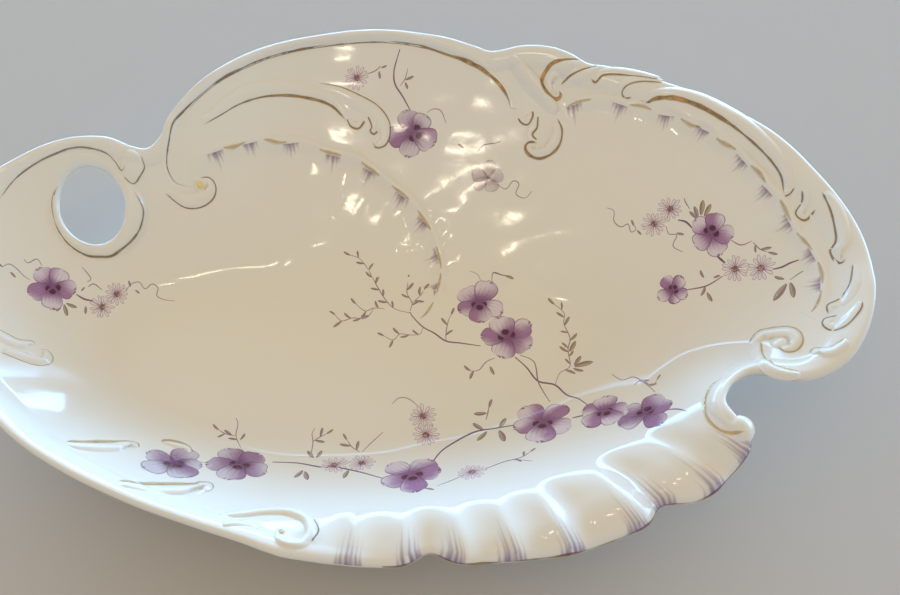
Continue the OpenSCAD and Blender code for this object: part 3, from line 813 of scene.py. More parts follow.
def for_each(count, points, groups):
    """Groups of faces again for each of count shapes, which have so many points each."""
    starts = points * np.arange(count)[:, None, None]
    return [(faces + starts).reshape(-1, faces.shape[1]) for faces in groups]


def sheet_faces(rows, columns, count=1):
    """Faces of closed sheets, each an upper grid, then a lower one turned over, and walls between."""
    upper, lower = np.arange(2 * rows * columns).reshape(2, rows, columns)
    edge, low_edge = outline(upper), outline(lower)
    walls = np.stack([edge, np.roll(edge, -1), np.roll(low_edge, -1), low_edge], 1)
    return for_each(count, 2 * rows * columns, [np.vstack([quads(upper), quads(lower)[:, ::-1], walls])])


def disc_faces(rows, columns, count=1):
    """Faces of closed discs, whose rows run outward: a sleeve over the upper grid, round the edge and
    back over the lower one, and a small flat cap in the middle of each grid."""
    upper, lower = np.arange(2 * rows * columns).reshape(2, rows, columns)
    sleeve = wrapped(np.concatenate([upper, lower[::-1]]))
    return for_each(count, 2 * rows * columns, [quads(sleeve), upper[:1], lower[:1, ::-1]])


print("a closed sheet of 3 by 3 points has", len(sheet_faces(3, 3)[0]), "faces")

# %% [markdown]
# A piece gathers its sheets in a heap, with numbers for each point that its finish reads. A sheet whose
# faces point inward has a negative volume, so the heap measures it and turns it over.

# %% Pieces
SHARP = math.radians(60)


def volume(points, faces):
    """The volume inside the faces: each face is fanned from its first corner, and a fan's corners and
    the origin span a sixth of their triple product."""
    corners = points[faces]
    a, b, c = corners[:, 0], corners[:, 1:-1], corners[:, 2:]
    return np.einsum("ij,ikj->", a, np.cross(b, c)) / 6


class Heap:
    """Sheets gathered for one piece, with numbers for each point."""

    def __init__(self):
        self.points = []
        self.faces = []
        self.values = []
        self.count = 0

    def add(self, points, groups, **values):
        """Closed sheets: their points, their groups of faces and the numbers of their points."""
        points = points.reshape(-1, 3)
        inside_out = sum(volume(points, faces) for faces in groups) < 0
        self.points.append(points)
        self.faces += [(faces[:, ::-1] if inside_out else faces) + self.count for faces in groups]
        self.values.append({name: np.broadcast_to(v, len(points)) for name, v in values.items()})
        self.count += len(points)


def add_piece(name, heap, finish, nodes=()):
    """A mesh object from a heap. It rides on the one body and stands for the nodes."""
    mesh = bpy.data.meshes.new(name)
    faces = [face for group in heap.faces for face in group.tolist()]
    mesh.from_pydata(np.concatenate(heap.points).tolist(), [], faces)
    for value in heap.values[0]:
        layer = mesh.attributes.new(value, "FLOAT", "POINT")
        numbers = np.concatenate([values[value] for values in heap.values])
        layer.data.foreach_set("value", numbers.astype(np.float32))
    mesh.polygons.foreach_set("use_smooth", np.ones(len(faces), bool))
    mesh.set_sharp_from_angle(angle=SHARP)
    mesh.materials.append(finish.material)
    piece = add_object(name, mesh)
    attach(piece, "root")
    if nodes:
        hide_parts(*nodes)
    print(name, len(heap.points), "parts,", len(faces), "faces")
    return piece


print("edges over", round(math.degrees(SHARP)), "degrees stay sharp")

# %% [markdown]
# ## Porcelain
# The glaze is glossy over a warm white body, and a faint ripple breaks up its reflections, as it does on
# hand-dipped ware. A clear coat over a dull body could stand for it, but one glossy shader bakes more
# simply. The prints lie under the same glaze, so they share its gloss and ripple. The foot is bare.

# %% Porcelain finishes
GLOSS, BARE_ROUGHNESS = 0.08, 0.8
# Noise is finer with a larger scale. The ripple is a broad noise plus a share of a fine one
RIPPLE_BROAD, RIPPLE_FINE, RIPPLE_SHARE, RIPPLE_STRENGTH, RIPPLE_DEPTH = 90, 260, 0.35, 0.05, 0.001
CLOUD_SCALE, GRAIN_SCALE, GRAIN_DETAIL = 14, 700, 4


def glazed(name):
    """A finish with the gloss and the ripple of the glaze."""
    finish = Finish(name, roughness=GLOSS)
    ripple = finish.noise(RIPPLE_BROAD) + RIPPLE_SHARE * finish.noise(RIPPLE_FINE)
    bump = {"Strength": RIPPLE_STRENGTH, "Distance": RIPPLE_DEPTH, "Height": ripple}
    finish.put("Normal", finish.node("Bump", {}, bump))
    return finish


porcelain = glazed("glazed_porcelain")
cream, white = paint(240, 232, 215), paint(236, 230, 218)
porcelain.put("Base Color", porcelain.mix(porcelain.noise(CLOUD_SCALE), cream, white))

bisque = Finish("bare_porcelain", roughness=BARE_ROUGHNESS)
pale_clay, dark_clay = paint(230, 224, 211), paint(222, 215, 200)
grain = bisque.noise(GRAIN_SCALE, GRAIN_DETAIL)
bisque.put("Base Color", bisque.mix(grain, pale_clay, dark_clay))
print("finishes", porcelain.material.name, bisque.material.name)

# %% [markdown]
# ## Gold
# The gold was brushed on and fired, and years of washing have worn it: thin lines are brown, broad ones
# ochre, and the porcelain shows through. Pure metal would mirror the room and turn nearly black in a thin
# line, so the finish is half metal, and a noise thins its cover.

# %% Gold finish
METAL, GOLD_ROUGHNESS = 0.45, 0.3
WEAR_SCALE, WEAR_DETAIL, WEAR_FROM, WEAR_TO = 420, 4, 0.40, 0.66
WORN_ROUGHNESS, WORN_AWAY = 0.2, 0.25

gold = Finish("fired_gold", metallic=METAL)
wear = gold.step(gold.noise(WEAR_SCALE, WEAR_DETAIL), WEAR_FROM, WEAR_TO)
brown = gold.mix(wear, paint(156, 132, 88), paint(124, 102, 66))
ochre = gold.mix(wear, paint(190, 152, 98), paint(154, 118, 70))
# A pale yellow gold: in part a paler tone of brushed gold and dabs, and in full a painted glint on the curl's
# dot
pale_gold_and_glint = paint(255, 226, 140)
brushed = gold.mix(gold.value("broad"), brown, ochre)
gold.put("Base Color", gold.mix(gold.value("bright"), brushed, pale_gold_and_glint))
gold.put("Roughness", GOLD_ROUGHNESS + WORN_ROUGHNESS * wear)
gold.put("Alpha", gold.value("cover") * (1 - WORN_AWAY * wear))
print("finish", gold.material.name, "nodes", len(gold.tree.nodes))

# %% [markdown]
# ## The porcelain body
# The shell is pressed from one sheet of clay, so the body is one grid. Its columns run at equal steps
# round the rim, and its rows run from a hub on the floor out to the lip, over the lip and back underneath.
# A subdivided block would need more faces for the same lip, because its own rows don't follow the rim.

# %% Columns round the rim
COLUMNS = 600
EDGE_INSET = 1.8
OVAL = np.array([67, 52])
# The outward directions are smoothed over so many columns on each side
OUTWARD_BLUR = 4

column_run = np.linspace(0, rim_run[-1], COLUMNS, endpoint=False)
column_number = np.interp(column_run, rim_run, np.append(rim_numbers, len(RIM)))
rim = scalloped(through(RIM, column_number, closed=True))
way = np.roll(rim, -1, 0) - np.roll(rim, 1, 0)
outward = np.stack([way[:, 1], -way[:, 0]], 1)
outward = unit(sum(np.roll(outward, turn, 0) for turn in range(-OUTWARD_BLUR, OUTWARD_BLUR + 1)))
edge = rim - EDGE_INSET * outward
toward = unit(edge - HUB)
oval = HUB + toward / np.linalg.norm(toward / OVAL, axis=1, keepdims=True)
print("columns", COLUMNS, "each", round(rim_run[-1] / COLUMNS, 2), "mm wide at the rim")

# %% [markdown]
# The rows are few on the flat floor and close on the wall. An oval between the floor and the lip keeps
# them smooth: inside it they are ovals, and outside it they change to the free outline of the rim.

# %% Rows from the hub to the lip
INNER_COARSE, INNER_FINE, OUTER, UNDER_INNER = 9, 44, 36, 10
HUB_SHARE, FINE_FROM = 0.04, 0.45

inner_shares = np.concatenate([np.linspace(HUB_SHARE, FINE_FROM, INNER_COARSE),
                               np.linspace(FINE_FROM, 1, INNER_FINE + 1)[1:]])
outer_shares = np.linspace(0, 1, OUTER + 1)[1:]
inner_plan = HUB + inner_shares[:, None, None] * (oval - HUB)
outer_plan = oval + outer_shares[:, None, None] * (edge - oval)
under_plan = HUB + np.linspace(1, HUB_SHARE, UNDER_INNER + 1)[1:, None, None] * (oval - HUB)


def thickness(share):
    """Wall at the oval, thinner toward the lip."""
    return WALL + (RIM_WALL - WALL) * ease(share)


print("rows on the upper face", len(inner_shares) + OUTER)

# %% [markdown]
# A wet sponge rounds the lip and the edge of the finger hole. A bevel modifier would cut a flat chamfer
# with the same width everywhere. So the rows over an edge are worked out from the slopes on both faces.

# %% Rounded edges
ROUND_ROWS = 6
# How far an arc runs along the slope before it turns, and how far it then runs upright
ARC_PULL, UPRIGHT_PULL = 0.55, 0.5


def rounded_over(start, way, reach, top, low, top_slope, low_slope):
    """Rows over a rounded edge, from the upper surface to the underside: two cubic arcs that leave
    along the slopes and meet upright at the silhouette."""
    middle = (top + low) / 2 + reach * (top_slope + low_slope) / 2
    t = np.linspace(0, 1, ROUND_ROWS + 1)[1:, None]
    arcs = []
    for near, slope, s in ((top, top_slope, t), (low, low_slope, 1 - t)):
        shoulder = near + ARC_PULL * reach * slope
        upright = middle + UPRIGHT_PULL * (near + reach * slope - middle)
        weights = (1 - s) ** 3, 3 * s * (1 - s) ** 2, 3 * s ** 2 * (1 - s), s ** 3
        out = reach * (weights[1] * ARC_PULL + weights[2] + weights[3]) * np.ones(len(start))
        z = weights[0] * near + weights[1] * shoulder + weights[2] * upright + weights[3] * middle
        arcs.append((start + out[..., None] * way, z))
    plans, rises = zip(*arcs)
    return np.concatenate(plans), np.concatenate(rises)


def along(way, gradients):
    """The slope in a direction."""
    return way[..., 0] * gradients[0] + way[..., 1] * gradients[1]


print("rows over an edge", 2 * ROUND_ROWS)

# %% [markdown]
# The rows are stacked: up the inside, over the lip and back to the hub underneath. A Solidify modifier
# would make one thickness, and the wall thins toward the rim.

# %% Body grid
edge_under = underside(edge, RIM_WALL)
lip_plan, lip_z = rounded_over(edge, outward, EDGE_INSET, glaze(edge), edge_under,
                               along(outward, slopes(edge)), along(outward, slopes(edge, plain_glaze)))
low_outer = outer_plan[-2::-1]
low_outer_z = np.stack([underside(row, thickness(share))
                        for row, share in zip(low_outer, outer_shares[-2::-1])])
low_oval_z = underside(oval, WALL)[None]
low_inner_z = underside(under_plan, WALL)
plan = np.concatenate([inner_plan, outer_plan, lip_plan, low_outer, oval[None], under_plan])
heights = np.concatenate([glaze(inner_plan), glaze(outer_plan), lip_z, low_outer_z, low_oval_z,
                          low_inner_z])
print("body grid", plan.shape)

# %% [markdown]
# The finger hole is cut while the clay is leather-hard. A Boolean would leave long thin faces round it.
# So a block of the grid is left out, and rings fill it: they run from the block's outline to the hole's
# rim, over the rim and back underneath.

# %% Finger hole
HOLE_FROM, HOLE_TO = 40, 45.6
HOLE_ROUND, LOOP_WALL, RINGS = 1.6, 2.8, 22

top_oval = len(inner_shares) - 1
top_edge = top_oval + OUTER
low_edge = top_edge + len(lip_plan)
low_oval = low_edge + OUTER
first_column, last_column = np.searchsorted(column_number, (HOLE_FROM, HOLE_TO))

rows, columns = plan.shape[:2]
numbers = np.arange(rows * columns).reshape(rows, columns)
ring_numbers = wrapped(numbers)
top_block = outline(numbers[top_oval:top_edge + 1, first_column:last_column + 1])
low_block = outline(numbers[low_edge:low_oval + 1, first_column:last_column + 1][::-1])
border = plan.reshape(-1, 2)[top_block]
hole_turn = turn_of((border - HOLE_CENTRE) / HOLE_HALF)
circle = np.stack([np.cos(hole_turn), np.sin(hole_turn)], 1)
hole_way = unit(circle * HOLE_HALF)
hole_rim = HOLE_CENTRE + circle * (HOLE_HALF + HOLE_ROUND)
ring_shares = np.linspace(0, 1, RINGS + 1)[1:, None, None]
ring_plan = border + ring_shares * (hole_rim - border)
hole_slopes = [-along(hole_way, slopes(hole_rim, surface)) for surface in (glaze, plain_glaze)]
hole_plan, hole_z = rounded_over(hole_rim, -hole_way, HOLE_ROUND, glaze(hole_rim),
                                 underside(hole_rim, RIM_WALL), *hole_slopes)
low_ring_z = underside(ring_plan[-2::-1], LOOP_WALL)
patch_plan = np.concatenate([ring_plan, hole_plan, ring_plan[-2::-1]])
patch_z = np.concatenate([glaze(ring_plan), hole_z, low_ring_z])
patch = rows * columns + np.arange(patch_z.size).reshape(patch_z.shape)
patch = np.concatenate([top_block[None], patch, low_block[None]])
patch_faces = quads(wrapped(patch))
print("rings round the hole", patch.shape)

# %% [markdown]
# The block's own faces are left out, and a fan of three-sided faces closes the grid at each hub, where
# four-sided ones would have two corners on one spot.

# %% Body mesh
keep = np.ones((rows - 1, columns), bool)
keep[top_oval:top_edge, first_column:last_column] = False
keep[low_edge:low_oval, first_column:last_column] = False
grid_faces = quads(ring_numbers)[keep.ravel()]
hubs = rows * columns + patch_z.size + np.arange(2)
fan = np.stack([ring_numbers[0, :-1], ring_numbers[0, 1:], np.full(columns, hubs[0])], 1)
low_fan = np.stack([ring_numbers[-1, 1:], ring_numbers[-1, :-1], np.full(columns, hubs[1])], 1)
hub_plan = np.stack([HUB, HUB]).astype(float)
hub_z = np.concatenate([glaze(hub_plan[:1]), underside(hub_plan[1:], WALL)])
body_points = np.concatenate([in_frame(plan.reshape(-1, 2), heights.ravel()),
                              in_frame(patch_plan.reshape(-1, 2), patch_z.ravel()),
                              in_frame(hub_plan, hub_z)])

body = Heap()
body.add(body_points, [grid_faces, patch_faces, fan, low_fan])
body_volume = sum(volume(body_points, faces) for faces in body.faces)
print("body volume", round(body_volume * 1e6, 1), "cubic cm")
add_piece("porcelain_body", body, porcelain, ("dish_body", "finger_loop"))

# %% [markdown]
# ## The foot ring
# A dish like this is fired on its foot, so the ring is wiped clean of glaze. A torus would stand on a
# line, and the foot is ground flat, so a section with round lower corners is carried round the oval.

# %% Foot ring
FOOT_INSET, FOOT_WIDTH, FOOT_CORNER = 5, 4, 1.1
FOOT_STEPS, CORNER_POINTS = 240, 7


def foot_oval(inset):
    """The floor's oval, drawn in by the inset."""
    t = np.linspace(0, 2 * np.pi, FOOT_STEPS, endpoint=False)
    c, s = np.cos(t), np.sin(t)
    x = c * (np.where(c < 0, FLOOR_LEFT, FLOOR_RIGHT) - inset)
    y = s * (np.where(s < 0, FLOOR_FRONT, FLOOR_BACK) - inset)
    return FLOOR_CENTRE + np.stack([x, y], 1)


corner = np.linspace(0, np.pi / 2, CORNER_POINTS)
corner_in = FOOT_CORNER * (1 - np.cos(corner))
corner_up = FOOT_CORNER * (1 - np.sin(corner))
section_in = np.concatenate([[0], corner_in, FOOT_WIDTH - corner_in[::-1], [FOOT_WIDTH]])
section_z = np.concatenate([[foot_height], corner_up, corner_up[::-1], [foot_height]])
foot_points = np.stack([in_frame(foot_oval(FOOT_INSET + inset), np.full(FOOT_STEPS, z))
                        for inset, z in zip(section_in, section_z)])
foot_numbers = np.arange(len(section_z) * FOOT_STEPS).reshape(-1, FOOT_STEPS)
foot_numbers = wrapped(np.concatenate([foot_numbers, foot_numbers[:1]]))
foot = Heap()
foot.add(foot_points, [quads(foot_numbers)])
add_piece("foot", foot, bisque, ["foot_ring"])

# %% [markdown]
# ## Scrolls in fine detail
# The body's grid is about a millimetre wide, too coarse for the crown of a stroke, and a finer body would
# be too heavy. So each stroke is a bar of its own, a closed strip whose upper face is the moulded surface
# and whose edges dip under the body's. On the inside of a bend it stays short of the bend's radius, or it
# would fold over itself.

# %% Bars along a path
BAR_STEP, BAR_ACROSS = 0.4, 15
BAR_LIFT, BAR_SINK, BAR_DEPTH = 0.04, 0.1, 0.6
# A bend is smoothed over so many points on each side, and a bar keeps to a share of its radius
BEND_BLUR, BEND_SHARE, STRAIGHT = 4, 0.85, 1e-6
# The higher this power, the closer to its edge a bar starts to dip
BAR_DIP = 8


def bend(line):
    """Curvature of a path, positive where it bends left: its turn over its step, smoothed."""
    way = np.gradient(line, axis=0)
    turn = np.gradient(np.unwrap(turn_of(way)))
    window = 2 * BEND_BLUR + 1
    soft = np.convolve(np.pad(turn, BEND_BLUR, "edge"), np.ones(window) / window, "valid")
    return soft / np.linalg.norm(way, axis=1)


def bar(line, low, high, height, across=BAR_ACROSS, lift=BAR_LIFT, sink=BAR_SINK, depth=BAR_DEPTH):
    """Upper and lower points of a strip that runs along a path, from low to high on its left."""
    tightest = BEND_SHARE / np.maximum(np.abs(bend(line)), STRAIGHT)
    low = np.where(bend(line) < 0, np.maximum(low, -tightest), low)
    high = np.where(bend(line) > 0, np.minimum(high, tightest), high)
    s = np.linspace(0, 1, across)
    off = low[:, None] * (1 - s) + high[:, None] * s
    p = line[:, None] + off[..., None] * sideways(line)[:, None]
    dip = np.abs(2 * s - 1) ** BAR_DIP * np.ones((len(line), 1))
    dip[[0, -1]] = 1
    z = height(p) + lift - (lift + sink) * dip
    return np.stack([in_frame(p, z), in_frame(p, glaze(p) - depth)])


print("bars", BAR_ACROSS, "points across")

# %% [markdown]
# One piece stands for each moulded element of the construction: the bars of a scroll's strokes, or the
# bar that covers a fold's bead and the step beside it.

# %% Scroll and fold pieces
BAR_MARGIN, FOLD_INSIDE, FOLD_OUTSIDE, FEWEST_STEPS = 0.25, 3.4, 2.8, 6


def fine(line):
    """The path again, at the step of the bars."""
    return evenly(line, max(FEWEST_STEPS, int(RELIEF_STEP / BAR_STEP * len(line))))


for node, strokes in STROKES.items():
    heap = Heap()
    for (width, height, side, _, _), line in zip(strokes, stroke_lines[node]):
        path = fine(line)
        size = stroke_size(np.linspace(0, 1, len(path))) * width
        low = -size * (1 - side) / 2 - BAR_MARGIN
        high = size * (1 + side) / 2 + BAR_MARGIN
        heap.add(bar(path, low, high, moulded), sheet_faces(len(path), BAR_ACROSS))
    add_piece(node + "_relief", heap, porcelain, [node])

for node, line in fold_lines.items():
    path = fine(line)
    heap = Heap()
    reach = np.ones(len(path))
    points = bar(path, -FOLD_INSIDE * reach, FOLD_OUTSIDE * reach, moulded)
    heap.add(points, sheet_faces(len(path), BAR_ACROSS))
    add_piece(node + "_fold", heap, porcelain, [node])

# %% [markdown]
# The beads are small round drops of clay at the eyes of the curls. Spheres would show a seam where they
# meet the wall, so each is a disc of the moulded surface, which already swells there.

# %% Beads
BEAD_MARGIN, DISC_ROWS, DISC_ACROSS = 1.12, 11, 32
# A disc starts a little off its middle, so that no face shrinks to a line
DISC_START, DISC_DIP = 0.02, 12
disc_shares = np.linspace(DISC_START, 1, DISC_ROWS)[:, None]


def disc(spot, radius, lift=BAR_LIFT, sink=BAR_SINK, depth=BAR_DEPTH):
    """A closed disc on the moulded surface, whose edge dips under it."""
    t = np.linspace(0, 2 * np.pi, DISC_ACROSS, endpoint=False)
    p = spot + radius * disc_shares[..., None] * np.stack([np.cos(t), np.sin(t)], -1)
    z = moulded(p) + lift - (lift + sink) * disc_shares ** DISC_DIP
    return np.stack([in_frame(p, z), in_frame(p, glaze(p) - depth)])


beads = Heap()
for (radius, _, _), spot in zip(BEADS, bead_spots):
    beads.add(disc(spot, BEAD_MARGIN * radius), disc_faces(DISC_ROWS, DISC_ACROSS))
add_piece("beads", beads, porcelain, ())

# %% [markdown]
# ## Fired gold
# The gilder's brush follows the foot of each scroll. The gold could be painted as a mask on the body, but
# a hair line needs a finer grid than the body has. So a stroke of gold is a thin closed strip on the
# moulded surface, with its width given at a few knots and an unsteady edge from seeded random numbers.
# Its points carry how well the gold covers, how broad the stroke is and how pale it is, up to a painted
# glint.

# %% Strokes of gold
GOLD_LIFT, GOLD_SINK, GOLD_DEPTH, GOLD_ACROSS = 0.12, 0.0, 0.3, 9
SOFT_EDGE, HAND_SHAKE, SHAKE_SPACING = 0.55, 0.12, 4
THIN_LINE, BROAD_LINE, THIN_COVER = 0.45, 1.0, 0.75
# A stroke thins over this share of its length at both ends, to this share of its width
GOLD_TAPER, GOLD_TIP = 0.06, 0.3
rng = np.random.default_rng(7)
gold_across = np.abs(np.linspace(-1, 1, GOLD_ACROSS))


def both_faces(values):
    """Numbers of a grid of points, for its upper and its lower face."""
    return np.concatenate([values.ravel(), values.ravel()])


def gold_stroke(heap, line, widths, cover=1.0, soft=SOFT_EDGE, bright=0.0, lift=GOLD_LIFT):
    """One stroke of gold along a path, laid into the heap."""
    path = evenly(line, max(FEWEST_STEPS, int(run_of(line)[-1] / BAR_STEP)))
    share = np.linspace(0, 1, len(path))
    knots = len(path) // SHAKE_SPACING + 2
    shake = np.interp(share, np.linspace(0, 1, knots), rng.normal(0, HAND_SHAKE, knots))
    taper = GOLD_TIP + (1 - GOLD_TIP) * end_fade(share, GOLD_TAPER, GOLD_TAPER)
    width = through(widths, share * (len(widths) - 1)) * (1 + shake) * taper
    points = bar(path, -width / 2, width / 2, moulded, GOLD_ACROSS, lift, GOLD_SINK, GOLD_DEPTH)
    broad = np.clip((width - THIN_LINE) / (BROAD_LINE - THIN_LINE), 0, 1)[:, None] + 0 * gold_across
    covers = cover * taper[:, None] * (THIN_COVER + (1 - THIN_COVER) * broad)
    heap.add(points, sheet_faces(len(path), GOLD_ACROSS), bright=bright, broad=both_faces(broad),
             cover=both_faces(covers * ease((1 - gold_across) / soft)))


def gold_dot(heap, spot, radius, bright):
    """A dot of gold on a bead, fading from its middle."""
    points = disc(spot, radius, GOLD_LIFT, GOLD_SINK, GOLD_DEPTH)
    cover = ease(1 - disc_shares) * np.ones(DISC_ACROSS)
    heap.add(points, disc_faces(DISC_ROWS, DISC_ACROSS), broad=1.0, bright=bright,
             cover=both_faces(cover))


print("gold", GOLD_ACROSS, "points across")

# %% [markdown]
# Most of the gold runs along the strokes already listed, so their paths are used again, and a dot sits on
# the bead of the left curl, painted pale yellow as a glint. Some scrolls were only brushed over, with a soft
# and thinner gold.

# %% Gold on the scrolls
# The curl's dot takes the pale yellow gold in full, which paints a glint on it
CURL_DOT, CURL_DOT_RADIUS, CURL_DOT_GLINT = (201, 187), 1.3, 1.0
GILDED = {"c_scroll": "c_scroll", "plume_scroll": "plume", "crest_scroll": "crest",
          "border_scrolls": "border", "end_volute": "end_volute", "notch_roll": "notch",
          "side_scrolls": "side"}
# Scrolls brushed thinly: how well the gold covers, how soft its edges are and how much pale gold it takes
BRUSHED = {"side_scrolls": (0.85, 0.9, 0.3), "notch_roll": (0.75, 1.0, 0.4),
           "end_volute": (0.75, 1.0, 0.3)}

for node, gilded in GILDED.items():
    heap = Heap()
    for (_, _, _, widths, _), line in zip(STROKES[node], stroke_lines[node]):
        if widths:
            gold_stroke(heap, line, widths, *BRUSHED.get(node, ()))
    if node == "c_scroll":
        gold_dot(heap, on_glaze([CURL_DOT])[0], CURL_DOT_RADIUS, CURL_DOT_GLINT)
    add_piece(gilded + "_gold", heap, gold, [gilded + "_gilding"])

# %% [markdown]
# The finger loop has no strokes of its own, so its lines are listed here, with their widths. They are
# lifted more than the others, because the body's grid is coarser than the roll that they follow.

# %% Gold on the finger loop
LOOP_GOLD = [
    ((0.25, 0.28, 0.28), [(0, 199), (15, 180), (38, 163), (61, 152), (76, 148), (92, 149), (107, 154),
                          (116, 163), (122, 172), (127, 167)]),
    ((0.25, 0.35, 0.3), [(142, 157), (145, 169), (139, 180), (132, 184), (124, 177)]),
    ((0.3, 0.4, 0.4, 0.35, 0.3, 0.25),
     [(135, 192), (142, 203), (145, 213), (141, 230), (130, 244), (115, 254), (103, 256), (86, 254),
      (69, 244), (58, 229), (53, 213), (53, 198), (58, 186)])]
LOOP_LIFT = 0.22

loop_gold = Heap()
for widths, pixels in LOOP_GOLD:
    gold_stroke(loop_gold, stroke_line(on_glaze(pixels), RELIEF_STEP), widths, lift=LOOP_LIFT)
add_piece("loop_gold", loop_gold, gold, ["loop_gilding"])

# %% [markdown]
# Short soft dabs mark the crowns of the shell folds. Each dab is cut from the path of the nearest fold, so
# that it lies along the bead.

# %% Gold on the folds
FOLD_DABS = [(234, 146), (277, 141), (330, 152), (371, 173), (403, 192), (425, 222), (438, 259),
             (439, 285), (428, 310), (580, 101), (640, 105), (691, 125), (726, 145), (761, 174),
             (785, 212), (806, 243), (819, 275), (815, 301)]
DAB_LENGTH, DAB_WIDTHS, DAB_POINTS = 6.5, (0.5, 1.0, 1.2, 0.9, 0.5), 12
DAB_COVER, DAB_SOFT, DAB_BRIGHT = 0.6, 1.0, 0.35


def nearest_fold(spot):
    """The fold that runs closest to a spot, and the number of its closest point."""
    line = min(fold_lines.values(), key=lambda path: np.linalg.norm(path - spot, axis=1).min())
    return line, np.linalg.norm(line - spot, axis=1).argmin()


dabs = Heap()
for spot in under_pixels(FOLD_DABS):
    line, number = nearest_fold(spot)
    run = run_of(line)
    reach = run[number] + DAB_LENGTH * np.linspace(-0.5, 0.5, DAB_POINTS)
    gold_stroke(dabs, read_off(line, run, reach), DAB_WIDTHS, DAB_COVER, DAB_SOFT, DAB_BRIGHT)
add_piece("shell_edge_gold", dabs, gold, ["shell_edge_gilding"])

# %% [markdown]
# The gold on the lip is a worn line on its very edge. A strip like the others would lie on the upper face,
# so this one is made of the rounded lip's own rows, lifted off along the outward direction.

# %% Gold on the lip
LIP_FROM, LIP_TO = 0.9, 6.6
LIP_LIFT, LIP_DEPTH = 0.05, 0.2
LIP_RISE = np.array([-1, 0.7, 1, 0.7, -1])
LIP_COVER = np.array([0, 0.8, 1, 0.8, 0])
LIP_ROWS = slice(ROUND_ROWS + 1 - len(LIP_RISE), ROUND_ROWS + 1)
# The lip's gold is worn in two waves that cross, round this share
WORN_FROM, WORN_SHORT, WORN_LONG = 0.6, 46, 17
# The volute at the end of the lip has one short stroke and a dot, in millimetres
VOLUTE_GOLD, VOLUTE_WIDTHS = [(-16.9, -64), (-15.5, -67), (-16.8, -70)], (0.25, 0.4, 0.3)
VOLUTE_EYE, VOLUTE_EYE_RADIUS, VOLUTE_EYE_BRIGHT = (-23.4, -67.6), 1.0, 0.2

lip_first, lip_last = np.searchsorted(column_number, (LIP_FROM, LIP_TO))
columns_used = slice(lip_first, lip_last)
lip_share = np.linspace(0, 1, lip_last - lip_first)
worn = WORN_FROM + (1 - WORN_FROM) * np.sin(WORN_SHORT * lip_share) * np.sin(WORN_LONG * lip_share)
lip_edge_plan, lip_edge_z = lip_plan[LIP_ROWS, columns_used], lip_z[LIP_ROWS, columns_used]
middle = len(LIP_RISE) // 2
lip_edge_plan = lip_edge_plan[middle] + worn[:, None] * (lip_edge_plan - lip_edge_plan[middle])
lip_edge_z = lip_edge_z[middle] + worn * (lip_edge_z - lip_edge_z[middle])
lip_out = outward[columns_used]
raised = LIP_LIFT * LIP_RISE[:, None, None] * lip_out
lip_points = np.stack([in_frame(lip_edge_plan + raised, lip_edge_z),
                       in_frame(lip_edge_plan - LIP_DEPTH * lip_out, lip_edge_z)])
lip_cover = both_faces(worn * LIP_COVER[:, None])
lip_gold = Heap()
lip_gold.add(lip_points, sheet_faces(*lip_edge_z.shape), bright=0.0, broad=lip_cover, cover=lip_cover)
gold_stroke(lip_gold, stroke_line(np.array(VOLUTE_GOLD), RELIEF_STEP), VOLUTE_WIDTHS)
gold_dot(lip_gold, np.array(VOLUTE_EYE), VOLUTE_EYE_RADIUS, VOLUTE_EYE_BRIGHT)
add_piece("lip_gold", lip_gold, gold, ["lip_gilding"])

# %% [markdown]
# ## Printed sprays
# The sprays are ordinary garden violets, daisies and leafy twigs, drawn here from petal shapes. Each
# petal or leaf is a thin closed sheet on the glaze. Its points carry their place in the petal (along,
# across and distance from the edge), so one finish can draw veins, spots and an outline on all of them.
# A picture texture would be quicker to draw, but it would blur close up.

# %% Laying shapes on the glaze
PRINT_DEPTH = 0.15
# A blade's grid stops short of its pointed ends, so that no face shrinks to a line
BLADE_START, BLADE_STOP = 0.05, np.pi / 2 - 0.06
# How full a blade is, and the powers that shape its foot and its tip
BLADE_FULL, BLADE_FOOT, BLADE_TIP, BLADE_SHUT = 1.25, 0.7, 1.2, 0.9
print_rng = np.random.default_rng(7)


def each(values):
    """One number for each printed shape, ready to spread over its grid."""
    return np.asarray(values, float)[:, None, None]


def tangents(spots):
    """Two unit vectors that lie on the surface at each spot, seen in plan: one along x, one across it."""
    gx, gy = slopes(spots, moulded)
    flat = np.zeros_like(gx)
    first = np.stack([flat + 1, flat, gx], -1) / np.sqrt(1 + gx ** 2)[:, None]
    up = np.stack([-gx, -gy, flat + 1], -1) / np.sqrt(1 + gx ** 2 + gy ** 2)[:, None]
    return first[:, :2], np.cross(up, first)[:, :2]


def lay(heap, spots, turns, u, v, lift, faces=sheet_faces, **values):
    """Closed sheets on the glaze: local shapes (u, v) in millimetres, turned and set at the spots."""
    first, second = (way[:, None, None] for way in tangents(spots))
    turns = each(turns)
    right = u * np.cos(turns) - v * np.sin(turns)
    ahead = u * np.sin(turns) + v * np.cos(turns)
    p = spots[:, None, None] + right[..., None] * first + ahead[..., None] * second
    z = moulded(p)
    points = np.stack([in_frame(p, z + lift), in_frame(p, z - PRINT_DEPTH)], 1)
    spread = {name: np.repeat(np.broadcast_to(value, z.shape)[:, None], 2, 1).ravel()
              for name, value in values.items()}
    count, rows, columns = z.shape
    heap.add(points, faces(rows, columns, count), **spread)


def leaf_shape(lengths, widths, tip, rows=11, columns=7):
    """Local grids of blades: the tip is 1 for a point and larger for a round end. Gives u, v, along,
    across and the distance from the edge."""
    along = np.sin(np.linspace(BLADE_START, BLADE_STOP, rows))[:, None]
    across = np.linspace(-1, 1, columns)
    closing = (1 - along ** (BLADE_TIP * tip)) ** (BLADE_SHUT / tip ** 0.5)
    half = each(widths) / 2 * BLADE_FULL * along ** BLADE_FOOT * closing
    edge = np.minimum(half * (1 - np.abs(across)), each(lengths) * (1 - along))
    u = half * across
    return u, each(lengths) * along + 0 * u, along + 0 * u, across + 0 * u, edge


print("prints reach", PRINT_DEPTH, "mm into the glaze")

